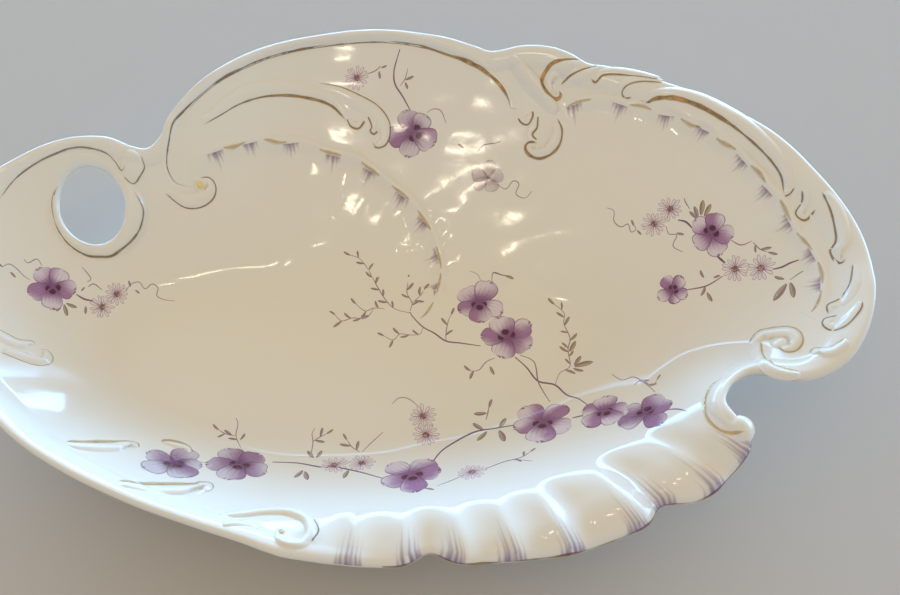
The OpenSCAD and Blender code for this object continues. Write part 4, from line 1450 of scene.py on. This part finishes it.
# %% [markdown]
# A violet has two upper petals, two at the sides and a broad lower one, each a little over the one before.
# One flower could be copied, but the printed ones all differ. So every petal has its own size, sway and
# wash from mauve to nearly white, and three of the five have a dark spot.

# %% Violets
PETAL_TURNS = np.radians([38, -36, 104, -106, 178])
PETAL_LENGTHS = [0.60, 0.58, 0.58, 0.57, 0.60]
PETAL_WIDTHS = [0.58, 0.60, 0.54, 0.56, 0.62]
PETAL_LIFTS = [0.03, 0.035, 0.04, 0.045, 0.05]
PETAL_OVERLAP, PETAL_ROUND, PETAL_SWAY = 0.05, 3.2, 0.12
PETAL_ROWS, PETAL_COLUMNS = 14, 11
# Petals from this number on have a spot: its place and half size, in flower diameters
SPOTTED_FROM, SPOT_AT, SPOT_LONG, SPOT_WIDE, NO_SPOT = 2, 0.17, 0.07, 0.085, 9.0
# How petals vary: their size, the turn of the wash, where it starts and how it runs across
PETAL_VARY, WASH_TURN, WASH_START, WASH_SPREAD, WASH_ACROSS = (0.88, 1.1), 1.2, 0.05, 0.18, 0.6
# Waves of a petal's outer edge: their height, how many run across, and how they shift with the wash
WAVY, WAVY_ACROSS, WAVY_SHIFT = 0.05, 5, 9
# Pixel of the centre, diameter in millimetres, turn in degrees, strength of the print
VIOLETS = [((53, 287), 10.5, 20, 1), ((414, 133), 13, 60, 0.9), ((711, 233), 11, 150, 1),
           ((479, 303), 11.8, 10, 1), ((507, 337), 12.8, 200, 1), ((543, 422), 14, 0, 1),
           ((604, 411), 11.5, 35, 1), ((645, 413), 12.4, 170, 0.85), ((412, 475), 14, 15, 0.95),
           ((240, 464), 13.5, -10, 0.75), ((174, 463), 14, 25, 0.65), ((673, 290), 7.5, 140, 1),
           ((488, 178), 8, 170, 0.3)]

centres, sizes, turns, strengths = zip(*VIOLETS)
violet_spots, violet_sizes, violet_turns = on_glaze(centres), np.array(sizes), np.radians(turns)
violet_strength = each(strengths)
count = len(VIOLETS)
violets = Heap()
for number, turn in enumerate(PETAL_TURNS):
    lengths = violet_sizes * PETAL_LENGTHS[number] * print_rng.uniform(*PETAL_VARY, count)
    widths = violet_sizes * PETAL_WIDTHS[number] * print_rng.uniform(*PETAL_VARY, count)
    wash = each(print_rng.uniform(-WASH_TURN, WASH_TURN, count))
    wash_from = each(print_rng.normal(WASH_START, WASH_SPREAD, count))
    u, v, along, across, edge = leaf_shape(lengths, widths, PETAL_ROUND, PETAL_ROWS, PETAL_COLUMNS)
    wavy = 1 + WAVY * np.sin(WAVY_ACROSS * across + WAVY_SHIFT * wash) * along ** 3
    pale = along * np.cos(wash) + WASH_ACROSS * across * np.sin(wash) + wash_from
    spot = np.hypot((v / each(violet_sizes) - SPOT_AT) / SPOT_LONG, u / each(violet_sizes) / SPOT_WIDE)
    sway = print_rng.normal(0, PETAL_SWAY, count)
    lay(violets, violet_spots, violet_turns + turn + sway, u * wavy,
        v * wavy - PETAL_OVERLAP * each(violet_sizes), PETAL_LIFTS[number], along=along, across=across,
        edge=edge, pale=pale, spot=spot if number >= SPOTTED_FROM else NO_SPOT, strength=violet_strength)
print("violets", count)

# %% [markdown]
# The printer laid the colours of a violet one over another: a wash, veins, a dark heart, a broken outline
# and the spots. The finish mixes them in the same order from the numbers that each petal carries, which
# stay sharper than a picture would.

# %% Violet colours
CLOUD_FINE, CLOUD_DETAIL, CLOUD_WASH = 260, 3, 0.6
# Each step: where it starts and where it is full
WASHED = (0.58, 1.26)
VEINS, VEIN_WANDER, VEIN_LINE, VEIN_FADE, VEIN_STRENGTH = 17, 6, (0.3, 1), (0.95, 0.3), 0.45
HEART, HEART_STRENGTH = (0.62, 0.16), 0.85
OUTLINE, OUTLINE_BREAKS, OUTLINE_STRENGTH = (0.32, 0.08), (0.3, 0.55), 0.75
SPOT_EDGE = (1.25, 0.75)
mauve, pale_mauve, vein_mauve = paint(166, 122, 158), paint(224, 210, 216), paint(138, 88, 134)
heart_mauve, outline_mauve, spot_plum = paint(124, 72, 120), paint(108, 68, 102), paint(84, 28, 58)

violet = glazed("violet_print")
place, cloud = violet.value("along"), violet.noise(CLOUD_FINE, CLOUD_DETAIL)
washed = violet.step(violet.value("pale") + CLOUD_WASH * cloud, *WASHED)
petal = violet.mix(washed, mauve, pale_mauve)
wander = VEINS * violet.value("across") + VEIN_WANDER * cloud
vein = violet.node("Math", {"operation": "SINE"}, [wander])
vein = violet.step(vein, *VEIN_LINE) * violet.step(place, *VEIN_FADE)
petal = violet.mix(VEIN_STRENGTH * vein, petal, vein_mauve)
petal = violet.mix(HEART_STRENGTH * violet.step(place, *HEART), petal, heart_mauve)
outlined = violet.step(violet.value("edge"), *OUTLINE) * violet.step(cloud, *OUTLINE_BREAKS)
petal = violet.mix(OUTLINE_STRENGTH * outlined, petal, outline_mauve)
petal = violet.mix(violet.step(violet.value("spot"), *SPOT_EDGE), petal, spot_plum)
violet.put("Base Color", petal)
violet.put("Alpha", violet.value("strength"))
add_piece("violets", violets, violet)

# %% [markdown]
# A daisy is a ring of narrow petals round an eye. A star-shaped disc could stand for it, but the petals
# are drawn apart, so each is a blade of its own that starts a little off the middle.

# %% Daisies
DAISY_PETALS, DAISY_PETAL_WIDTH, DAISY_ROUND, DAISY_INNER = 13, 0.15, 3, 0.2
DAISY_ROWS, DAISY_COLUMNS, DAISY_SWAY, DAISY_VARY = 9, 5, 0.06, (0.85, 1.05)
DAISY_EYE, DAISY_EYE_ROWS, DAISY_EYE_ACROSS = 0.13, 5, 16
DAISY_LIFT, DAISY_EYE_LIFT = 0.03, 0.05
# Pixel of the centre and diameter in millimetres
DAISIES = [((102, 307), 6.4), ((117, 294), 6.4), ((357, 78), 7), ((670, 209), 6.6), ((654, 224), 6.6),
           ((735, 269), 7), ((761, 268), 7.2), ((423, 416), 7), ((426, 435), 7), ((362, 463), 7),
           ((334, 465), 7), ((472, 472), 7)]

centres, sizes = zip(*DAISIES)
daisy_spots, daisy_sizes = on_glaze(centres), np.array(sizes)
count = len(DAISIES)
daisies = Heap()
for number in range(DAISY_PETALS):
    turns = 2 * np.pi * number / DAISY_PETALS + print_rng.normal(0, DAISY_SWAY, count)
    lengths = daisy_sizes / 2 * print_rng.uniform(*DAISY_VARY, count)
    widths = DAISY_PETAL_WIDTH * daisy_sizes
    u, v, along, _, edge = leaf_shape((1 - DAISY_INNER) * lengths, widths, DAISY_ROUND, DAISY_ROWS,
                                      DAISY_COLUMNS)
    v = v + DAISY_INNER * each(lengths)
    lay(daisies, daisy_spots, turns, u, v, DAISY_LIFT, edge=edge, along=along)
eye_turns = np.linspace(0, 2 * np.pi, DAISY_EYE_ACROSS, endpoint=False)
eye_reach = DAISY_EYE * each(daisy_sizes) * np.linspace(DISC_START, 1, DAISY_EYE_ROWS)[:, None]
u, v = eye_reach * np.cos(eye_turns), eye_reach * np.sin(eye_turns)
daisy_eyes = Heap()
lay(daisy_eyes, daisy_spots, np.zeros(count), u, v, DAISY_EYE_LIFT, disc_faces)
print("daisies", count)

# %% [markdown]
# A daisy has pale petals with a fine outline, darker toward the middle, and a dotted eye. The outline
# could be strips of its own, but the distance from the petal's edge gives it too.

# %% Daisy colours
DAISY_OUTLINE, DAISY_OUTLINE_STRENGTH, DAISY_HEART, DAISY_HEART_STRENGTH = (0.20, 0.06), 0.85, (0.5, 0.1), 0.3
DOT_SCALE, DOT_EDGE = 1600, (0.45, 0.6)
pale_petal, petal_line = paint(232, 221, 218), paint(166, 124, 150)
eye_brown, eye_pale = paint(134, 90, 102), paint(184, 148, 136)

daisy = glazed("daisy_print")
shaded = DAISY_OUTLINE_STRENGTH * daisy.step(daisy.value("edge"), *DAISY_OUTLINE)
shaded = shaded + DAISY_HEART_STRENGTH * daisy.step(daisy.value("along"), *DAISY_HEART)
daisy.put("Base Color", daisy.mix(shaded, pale_petal, petal_line))
add_piece("daisies", daisies, daisy)
eye_print = glazed("daisy_eye_print")
dots = eye_print.step(eye_print.noise(DOT_SCALE), *DOT_EDGE)
eye_print.put("Base Color", eye_print.mix(dots, eye_brown, eye_pale))
add_piece("daisy_eyes", daisy_eyes, eye_print)

# %% [markdown]
# Stems and tendrils are thin strips along pixel paths, like the gold. A rule that grows a plant could draw
# them, but a spray is composed by eye, so the paths are listed. Twigs carry small leaves in turn on the
# left and right. The larger leaves are listed one by one, each from its stalk to its tip.

# %% Paths of stems and twigs
# Each stem: strip width in millimetres, pixels
STEMS = [
    (0.5, [(76, 294), (84, 299), (94, 301)]),
    (0.3, [(88, 287), (94, 284), (102, 290)]),
    (0.26, [(82, 267), (88, 274), (91, 279), (87, 282)]),
    (0.26, [(126, 292), (130, 285), (139, 282), (145, 289), (152, 284), (158, 288), (157, 296),
            (166, 300), (175, 301)]),
    (0.26, [(24, 259), (28, 263), (37, 259), (42, 266)]),
    (0.26, [(2, 267), (9, 264), (16, 268), (24, 276), (30, 280)]),
    (0.45, [(411, 112), (403, 97), (395, 84), (394, 71), (397, 59), (400, 49)]),
    (0.26, [(400, 86), (405, 79), (408, 68)]),
    (0.3, [(367, 74), (375, 71), (381, 66)]),
    (0.26, [(427, 113), (433, 109), (441, 111), (446, 123)]),
    (0.26, [(478, 151), (484, 145), (496, 143), (501, 141)]),
    (0.26, [(497, 184), (506, 189), (513, 181), (519, 184), (516, 194), (525, 198), (532, 191)]),
    (0.5, [(678, 220), (686, 222), (693, 229)]),
    (0.26, [(607, 208), (614, 211), (614, 221), (621, 227), (628, 224), (631, 232), (636, 229),
            (632, 222)]),
    (0.26, [(666, 226), (669, 234), (677, 235), (673, 246), (683, 252)]),
    (0.3, [(731, 240), (741, 245), (752, 241)]),
    (0.55, [(717, 256), (725, 263)]),
    (0.5, [(770, 270), (782, 267), (790, 263), (799, 260)]),
    (0.3, [(790, 280), (800, 273), (811, 266)]),
    (0.4, [(685, 290), (706, 286), (723, 276)]),
    (0.3, [(690, 209), (686, 203), (684, 198)]),
    (0.45, [(481, 346), (460, 343), (446, 341), (434, 333), (423, 327), (413, 317), (410, 312)]),
    (0.26, [(482, 286), (478, 275), (469, 271)]),
    (0.4, [(492, 284), (493, 273), (502, 275), (512, 277)]),
    (0.5, [(515, 357), (527, 368), (538, 381), (555, 385), (567, 395), (579, 399), (590, 407)]),
    (0.35, [(520, 355), (534, 362), (538, 381), (543, 391), (550, 402)]),
    (0.3, [(495, 358), (486, 362), (479, 370), (471, 371)]),
    (0.26, [(420, 408), (409, 399), (399, 398), (392, 404)]),
    (0.5, [(272, 462), (297, 463), (321, 467), (335, 467), (360, 472), (385, 479)]),
    (0.26, [(310, 458), (313, 442), (312, 434), (315, 428)]),
    (0.26, [(362, 452), (370, 444), (383, 432)]),
    (0.55, [(432, 463), (444, 449), (472, 433), (497, 428), (515, 425)]),
    (0.26, [(437, 486), (455, 479), (464, 475)]),
    (0.5, [(572, 418), (585, 415)]),
    (0.45, [(664, 410), (676, 409), (686, 411)]),
    (0.3, [(480, 471), (490, 467), (511, 460), (532, 461)]),
    (0.3, [(486, 420), (488, 412), (489, 406)]),
    (0.3, [(612, 374), (622, 380), (634, 377), (646, 384), (655, 392)]),
    (0.26, [(241, 448), (236, 436), (238, 424), (236, 418)]),
    (0.26, [(206, 463), (190, 459), (182, 452)])]
TWIGS = [
    [(411, 313), (395, 309), (385, 299), (377, 286), (369, 271), (360, 259), (350, 255)],
    [(410, 311), (412, 303), (407, 293), (408, 282)],
    [(412, 303), (420, 296), (424, 290)],
    [(385, 309), (374, 308), (365, 311), (356, 304)],
    [(374, 308), (366, 318), (352, 318), (342, 321), (335, 315)],
    [(423, 327), (420, 334), (411, 335), (400, 334), (393, 340), (384, 336)],
    [(446, 341), (446, 333), (448, 322), (451, 315)],
    [(555, 385), (560, 373), (570, 366), (568, 350), (570, 338), (564, 324), (564, 313), (554, 304)],
    [(753, 242), (760, 249), (768, 252)],
    [(634, 385), (642, 380), (652, 386), (657, 380)],
    [(312, 442), (320, 437), (326, 434)],
    [(360, 452), (352, 447), (347, 440)],
    [(511, 460), (522, 457), (530, 452)],
    [(236, 436), (226, 434), (219, 430)],
    [(403, 491), (411, 487), (424, 488)]]
# Each leaf: stalk and tip, in pixels
LEAVES = [
    ((62, 303), (58, 312)), ((64, 304), (67, 316)), ((66, 303), (76, 309)), ((85, 287), (81, 291)),
    ((131, 287), (128, 281)), ((135, 290), (140, 293)), ((86, 306), (85, 314)), ((3, 267), (-3, 263)),
    ((10, 272), (16, 277)), ((405, 80), (414, 77)), ((405, 82), (408, 89)), ((379, 71), (380, 79)),
    ((381, 68), (387, 66)), ((698, 218), (695, 206)), ((701, 216), (703, 200)), ((704, 217), (711, 204)),
    ((697, 219), (690, 211)), ((676, 233), (684, 235)), ((785, 279), (774, 278)), ((787, 283), (774, 301)),
    ((790, 282), (796, 297)), ((704, 278), (699, 271)), ((713, 278), (720, 275)), ((705, 286), (704, 296)),
    ((707, 292), (711, 302)), ((634, 226), (631, 220)), ((637, 230), (641, 235)), ((505, 276), (514, 277)),
    ((471, 371), (463, 367)), ((474, 371), (468, 378)), ((490, 366), (493, 375)), ((489, 408), (491, 399)),
    ((487, 413), (474, 415)), ((484, 430), (472, 424)), ((499, 428), (506, 418)), ((487, 431), (478, 441)),
    ((499, 430), (506, 441)), ((574, 366), (581, 356)), ((574, 367), (592, 360)), ((573, 368), (582, 373)),
    ((568, 352), (559, 347)), ((569, 352), (577, 342)), ((303, 470), (296, 478)), ((305, 471), (307, 480)),
    ((349, 470), (342, 478)), ((314, 458), (307, 451)), ((316, 458), (323, 451)), ((240, 440), (246, 434)),
    ((237, 440), (229, 437)), ((464, 148), (458, 144))]
print("stems", len(STEMS), "twigs", len(TWIGS), "leaves", len(LEAVES))

# %% [markdown]
# A leaf has to point along a direction in plan, but its shape is laid on a slope. So the direction is
# first split along the two tangents at the leaf's stalk, and the turn is measured between those. A
# Shrinkwrap modifier would need no turn, but it would drag out the leaves on the steep wall.

# %% Shapes of stems and leaves
STEM_STEP, STEM_ACROSS, STEM_LIFT, STEM_SINK, STEM_GUARD = 0.5, 5, 0.03, 0.0, 0.08
THIN_STEM, STEM_RANGE = 0.2, 0.35
LEAF_TIP, LEAF_CURVE, LEAF_LIFT = 1.6, 0.12, 0.04
stems = Heap()
leaves = Heap()


def stem(pixels, width):
    """A thin strip along a pixel path, tapered by a sine toward half its width at the ends."""
    path = stroke_line(on_glaze(pixels), STEM_STEP)
    share = np.linspace(0, 1, len(path))
    half = width / 2 * (0.5 + 0.5 * np.sin(np.pi * np.clip(share, STEM_GUARD, 1 - STEM_GUARD)))
    points = bar(path, -half, half, moulded, STEM_ACROSS, STEM_LIFT, STEM_SINK, PRINT_DEPTH)
    tint = np.clip((width - THIN_STEM) / STEM_RANGE, 0, 1)
    stems.add(points, sheet_faces(len(path), STEM_ACROSS), tint=tint)
    return path


def surface_turn(spots, ways):
    """The turn that points a shape's tip along a plan direction, and the direction's length."""
    first, second = tangents(spots)
    area = first[:, 0] * second[:, 1] - first[:, 1] * second[:, 0]
    right = (ways[:, 0] * second[:, 1] - ways[:, 1] * second[:, 0]) / area
    ahead = (first[:, 0] * ways[:, 1] - first[:, 1] * ways[:, 0]) / area
    return np.arctan2(-right, ahead), np.hypot(right, ahead)


def add_leaves(spots, turns, lengths, plump):
    """Leaves of one plumpness, each with a tint and a slight curve of its own."""
    tints = each(print_rng.uniform(0, 1, len(spots)))
    u, v, along, across, edge = leaf_shape(lengths, lengths * plump, LEAF_TIP)
    curve = each(print_rng.normal(0, LEAF_CURVE, len(spots))) * v * along
    lay(leaves, spots, turns, u + curve, v, LEAF_LIFT, along=along, across=across, edge=edge, tint=tints)


print("stems", STEM_ACROSS, "points across")

# %% [markdown]
# The stems come first, then the twigs with a leaf at each step, then the larger leaves. A twig's leaves
# lean out by turns, and the last one points along the twig.

# %% Stems, twigs and leaves
TWIG_WIDTH, TWIG_STEP, TWIG_LEAF, TWIG_LEAN, TWIG_PLUMP = 0.28, 2.6, 2.7, 0.8, 0.42
TWIG_FROM, TWIG_TO, TWIG_SWAY, TWIG_VARY, FEWEST_LEAVES = 0.2, 0.99, 0.15, (0.75, 1.1), 3
LEAF_PLUMP = 0.48

for width, pixels in STEMS:
    stem(pixels, width)
for pixels in TWIGS:
    path = stem(pixels, TWIG_WIDTH)
    count = max(FEWEST_LEAVES, int(STEM_STEP * len(path) / TWIG_STEP))
    picked = np.linspace(TWIG_FROM, TWIG_TO, count) * (len(path) - 1)
    spots = read_off(path, np.arange(len(path)), picked)
    turns, _ = surface_turn(spots, np.gradient(path, axis=0)[picked.astype(int)])
    lean = np.where(np.arange(count) % 2, TWIG_LEAN, -TWIG_LEAN) + print_rng.normal(0, TWIG_SWAY, count)
    lean[-1] = 0
    add_leaves(spots, turns + lean, TWIG_LEAF * print_rng.uniform(*TWIG_VARY, count), TWIG_PLUMP)
stalks, tips = (on_glaze(pixels) for pixels in zip(*LEAVES))
add_leaves(stalks, *surface_turn(stalks, tips - stalks), LEAF_PLUMP)
print("leaves drawn", len(leaves.points))

# %% [markdown]
# Thin stems are printed paler than thick ones. A leaf is darker on one half, with a fine outline, and its
# tint lies between mauve and olive. One finish with a tint at each point serves for many materials.

# %% Stem and leaf colours
LEAF_HALVES, LEAF_OUTLINE, LEAF_OUTLINE_STRENGTH = (-0.15, 0.25), (0.22, 0.08), 0.7
pale_stem, dark_stem = paint(172, 142, 160), paint(122, 88, 104)
dull_mauve, dull_olive = paint(158, 126, 140), paint(152, 136, 108)
fresh_mauve, fresh_olive = paint(182, 160, 150), paint(188, 176, 130)
leaf_line = paint(122, 92, 102)

stem_print = glazed("stem_print")
stem_print.put("Base Color", stem_print.mix(stem_print.value("tint"), pale_stem, dark_stem))
add_piece("stems", stems, stem_print)

leaf_print = glazed("leaf_print")
half_tone = leaf_print.step(leaf_print.value("across"), *LEAF_HALVES)
dull = leaf_print.mix(leaf_print.value("tint"), dull_mauve, dull_olive)
fresh = leaf_print.mix(leaf_print.value("tint"), fresh_mauve, fresh_olive)
leaf_edge = leaf_print.step(leaf_print.value("edge"), *LEAF_OUTLINE)
blade = leaf_print.mix(half_tone, dull, fresh)
leaf_print.put("Base Color", leaf_print.mix(LEAF_OUTLINE_STRENGTH * leaf_edge, blade, leaf_line))
add_piece("leaves", leaves, leaf_print)

# %% [markdown]
# ## Shaded strokes
# Small fans of mauve strokes shade the flutes of the lip. They could be painted on the body as a mask, but
# they are finer than its grid. So each stroke is a sheet that follows the rows and columns of the body,
# over the edge too. It is soft at its sides and fades inward, over a broad pale smudge.

# %% Strokes on the lip
LIP_FANS = [(353, 552), (403, 551), (459, 545), (514, 549), (568, 534), (633, 513), (663, 490),
            (717, 485), (742, 455)]
LIP_FAN_HEIGHT = 27
# Each stroke of a lip fan: columns from the middle, width in columns, how far it runs, how well it covers
LIP_STROKES = [(-2.7, 1.1, 0.35, 0.32), (-1.7, 1.2, 0.6, 0.42), (-0.7, 1.2, 0.95, 0.48),
               (0.4, 1.3, 0.8, 0.55), (1.5, 1.2, 0.6, 0.46), (2.5, 1.1, 0.4, 0.36), (0, 7.5, 0.3, 0.3)]
LIP_STROKE_ROWS, LIP_STROKE_POINTS, STROKE_ACROSS = 11, 22, 5
STROKE_TIP, STROKE_LIFT, STROKE_DEPTH, STROKE_SOFT = 0.3, 0.04, 0.1, 0.9
# How the strokes' lengths and places vary, the row where they start, and how fast they fade
LIP_RUN_VARY, LIP_SWAY, LIP_START, LIP_FADE = (0.7, 1.2), 0.2, 1.2, 1.2
stroke_middle = np.linspace(-0.5, 0.5, STROKE_ACROSS)
soft_stroke = ease((1 - np.abs(2 * stroke_middle)) / STROKE_SOFT)
body_solid = np.concatenate([plan, heights[..., None]], -1)


def on_level(pixels, z):
    """Drawing points where rays through the pixels meet a level."""
    rays = pixel_rays(pixels)
    return in_drawing(eye + (z - eye[2]) / rays[:, 2:] * rays)


def on_body(row, column):
    """The body's points between the crossings of its grid, weighted by the shares of the row and the
    column: plan, height and the way out."""
    r, c = np.floor(row).astype(int), np.floor(column).astype(int)
    f, g = (row - r)[..., None], (column - c)[..., None]
    c, after = c % COLUMNS, (c + 1) % COLUMNS
    near = body_solid[r, c] * (1 - g) + body_solid[r, after] * g
    far = body_solid[r + 1, c] * (1 - g) + body_solid[r + 1, after] * g
    found = near * (1 - f) + far * f
    return found[..., :2], found[..., 2], outward[c]


strokes = Heap()
stroke_share = np.linspace(0, 1, LIP_STROKE_POINTS)[:, None]
for spot in on_level(LIP_FANS, LIP_FAN_HEIGHT):
    middle = np.linalg.norm(rim - spot, axis=1).argmin()
    for offset, width, run, cover in LIP_STROKES:
        rows_run = LIP_STROKE_ROWS * run * rng.uniform(*LIP_RUN_VARY)
        row = top_edge + ROUND_ROWS - LIP_START - stroke_share * (rows_run + ROUND_ROWS)
        tapered = width * (1 - (1 - STROKE_TIP) * stroke_share)
        column = middle + offset + rng.normal(0, LIP_SWAY) + tapered * stroke_middle
        p, z, out = on_body(row + 0 * column, column)
        points = np.stack([in_frame(p + STROKE_LIFT * out, z + STROKE_LIFT),
                           in_frame(p - STROKE_DEPTH * out, z - STROKE_DEPTH)])
        fade = cover * (1 - stroke_share) ** LIP_FADE * soft_stroke
        strokes.add(points, sheet_faces(*z.shape), fade=both_faces(fade), fold=0.0)
print("lip strokes", len(strokes.points))

# %% [markdown]
# The inside of each shell fold is shaded in the same way, in a redder mauve. A fold doesn't follow the
# body's rows, so these strokes are thin wedges, laid on the glaze like the leaves, square to the fold.

# %% Strokes on the folds
FOLD_FANS = [(219, 160), (252, 154), (293, 152), (332, 163), (366, 179), (397, 204), (417, 229),
             (430, 260), (429, 289), (575, 115), (616, 114), (663, 123), (699, 139), (736, 168),
             (763, 196), (784, 228), (802, 262), (808, 286)]
# Each stroke of a fold fan: millimetres from the middle, width, length, how well it covers
FOLD_STROKES = [(-1.7, 1.2, 2.6, 0.3), (-0.9, 1.2, 4.0, 0.4), (0, 1.3, 6.5, 0.45), (0.9, 1.2, 4.4, 0.4),
                (1.7, 1.2, 2.8, 0.3), (0, 4.6, 2.8, 0.3)]
FOLD_INSET, FOLD_SPREAD, FOLD_STROKE_LIFT = 0.4, 0.08, 0.12
WEDGE_POINTS, WEDGE_SWAY, WEDGE_VARY = 14, 0.15, (0.7, 1.1)

offsets, widths, lengths, covers = np.array(FOLD_STROKES).T
wedge_along = np.linspace(0, 1, WEDGE_POINTS)[:, None] + 0 * soft_stroke
for fan in under_pixels(FOLD_FANS):
    line, number = nearest_fold(fan)
    inward = -sideways(line)[number]
    along_line = np.array([inward[1], -inward[0]])
    spread = (offsets + rng.normal(0, WEDGE_SWAY, len(offsets)))[:, None] * along_line
    starts = line[number] + FOLD_INSET * inward + spread
    turns, _ = surface_turn(starts, inward + FOLD_SPREAD * spread)
    u = each(widths) * (1 - (1 - STROKE_TIP) * wedge_along) * stroke_middle
    v = each(lengths * rng.uniform(*WEDGE_VARY, len(lengths))) * wedge_along
    lay(strokes, starts, turns, u, v, FOLD_STROKE_LIFT,
        fade=each(covers) * (1 - wedge_along) * soft_stroke, fold=1.0)

stroke_print = glazed("stroke_print")
lip_mauve, fold_mauve = paint(142, 110, 168), paint(158, 116, 164)
stroke_print.put("Base Color", stroke_print.mix(stroke_print.value("fold"), lip_mauve, fold_mauve))
stroke_print.put("Alpha", stroke_print.value("fade"))
add_piece("shaded_strokes", strokes, stroke_print)

# %% [markdown]
# ## Stage
# The dish stands on a plain floor that takes its shadow. A backdrop isn't needed, because the camera looks
# down and sees only the floor.

# %% Floor
FLOOR_HALF, FLOOR_ROUGHNESS = 8, 0.7
floor_mesh = bpy.data.meshes.new("floor")
floor_corners = [(-FLOOR_HALF, -FLOOR_HALF, 0), (FLOOR_HALF, -FLOOR_HALF, 0), (FLOOR_HALF, FLOOR_HALF, 0),
                 (-FLOOR_HALF, FLOOR_HALF, 0)]
floor_mesh.from_pydata(floor_corners, [], [(0, 1, 2, 3)])
floor_finish = Finish("floor", base_color=paint(196, 188, 178), roughness=FLOOR_ROUGHNESS)
floor_mesh.materials.append(floor_finish.material)
floor = add_object("floor", floor_mesh)
print("floor", 2 * FLOOR_HALF, "m wide")

# %% [markdown]
# ## Light
# Three small warm lamps over the camera put glints in the bowl. Point lamps would do, but a glint has the
# shape of its lamp, and narrow panels give the short bars that a glossy glaze shows.

# %% Lamps
LAMP_WIDTH, LAMP_HEIGHT, LAMP_POWER, WARM = 0.08, 0.01, 0.2, (1.0, 0.87, 0.66)
LAMPS = {"lamp_1": (-0.12, -0.46, 1.42), "lamp_2": (-0.37, -0.34, 1.41), "lamp_3": (-0.03, -0.30, 1.45)}
LAMP_AIM = (0, 0, 0.02)


def lamp(name, place):
    """A rectangular light that faces the aim: tilted by the angle from the upright, then turned."""
    data = bpy.data.lights.new(name, "AREA")
    data.shape = "RECTANGLE"
    data.size, data.size_y = LAMP_WIDTH, LAMP_HEIGHT
    data.energy, data.color = LAMP_POWER, WARM
    light = add_object(name, data)
    light.location = place
    away = np.array(place) - np.array(LAMP_AIM)
    flat = math.hypot(away[0], away[1])
    light.rotation_euler = (math.atan2(flat, away[2]), 0, math.atan2(away[1], away[0]) + math.pi / 2)


for name, place in LAMPS.items():
    lamp(name, place)
print("lamps", list(LAMPS))

# %% [markdown]
# The surround is a plain sky, cool at the horizon and warm overhead, as in a room with a cream ceiling. A
# soft window glows low behind the dish and draws the highlight along the lip. A picture of a room could
# light it too, but a sum of steps on the direction needs no file.

# %% Sky
HORIZON, OVERHEAD, WINDOW = (0.32, 0.58, 1.02, 1), (0.69, 0.62, 0.505, 1), (4.3, 9.1, 16.0, 1)
# Parts of a unit direction: between which heights the sky blends and the window's glow fades, and how far
# back, turned a little to the right, the glow starts and is full
SKY_BLEND, GLOW_RISE, GLOW_BACK, GLOW_TURN = (0.05, 0.42), (0.38, 0.14), (0.25, 0.8), 0.25

world = bpy.data.worlds.new("surround")
world.use_nodes = True
surround = Graph(world.node_tree)
direction = surround.node("TexCoord", out="Generated")
right, back, up = (surround.node("SeparateXYZ", {}, [direction], out=axis) for axis in "XYZ")
sky = surround.mix(surround.step(up, *SKY_BLEND), HORIZON, OVERHEAD)
facing = surround.step(back + GLOW_TURN * right, *GLOW_BACK)
glow = facing * surround.step(up, *GLOW_RISE)
surround.plug(surround.mix(glow, sky, WINDOW), world.node_tree.nodes["Background"].inputs["Color"])
bpy.context.scene.world = world
bpy.context.scene.view_settings.view_transform = "Standard"
print("sky nodes", len(world.node_tree.nodes))
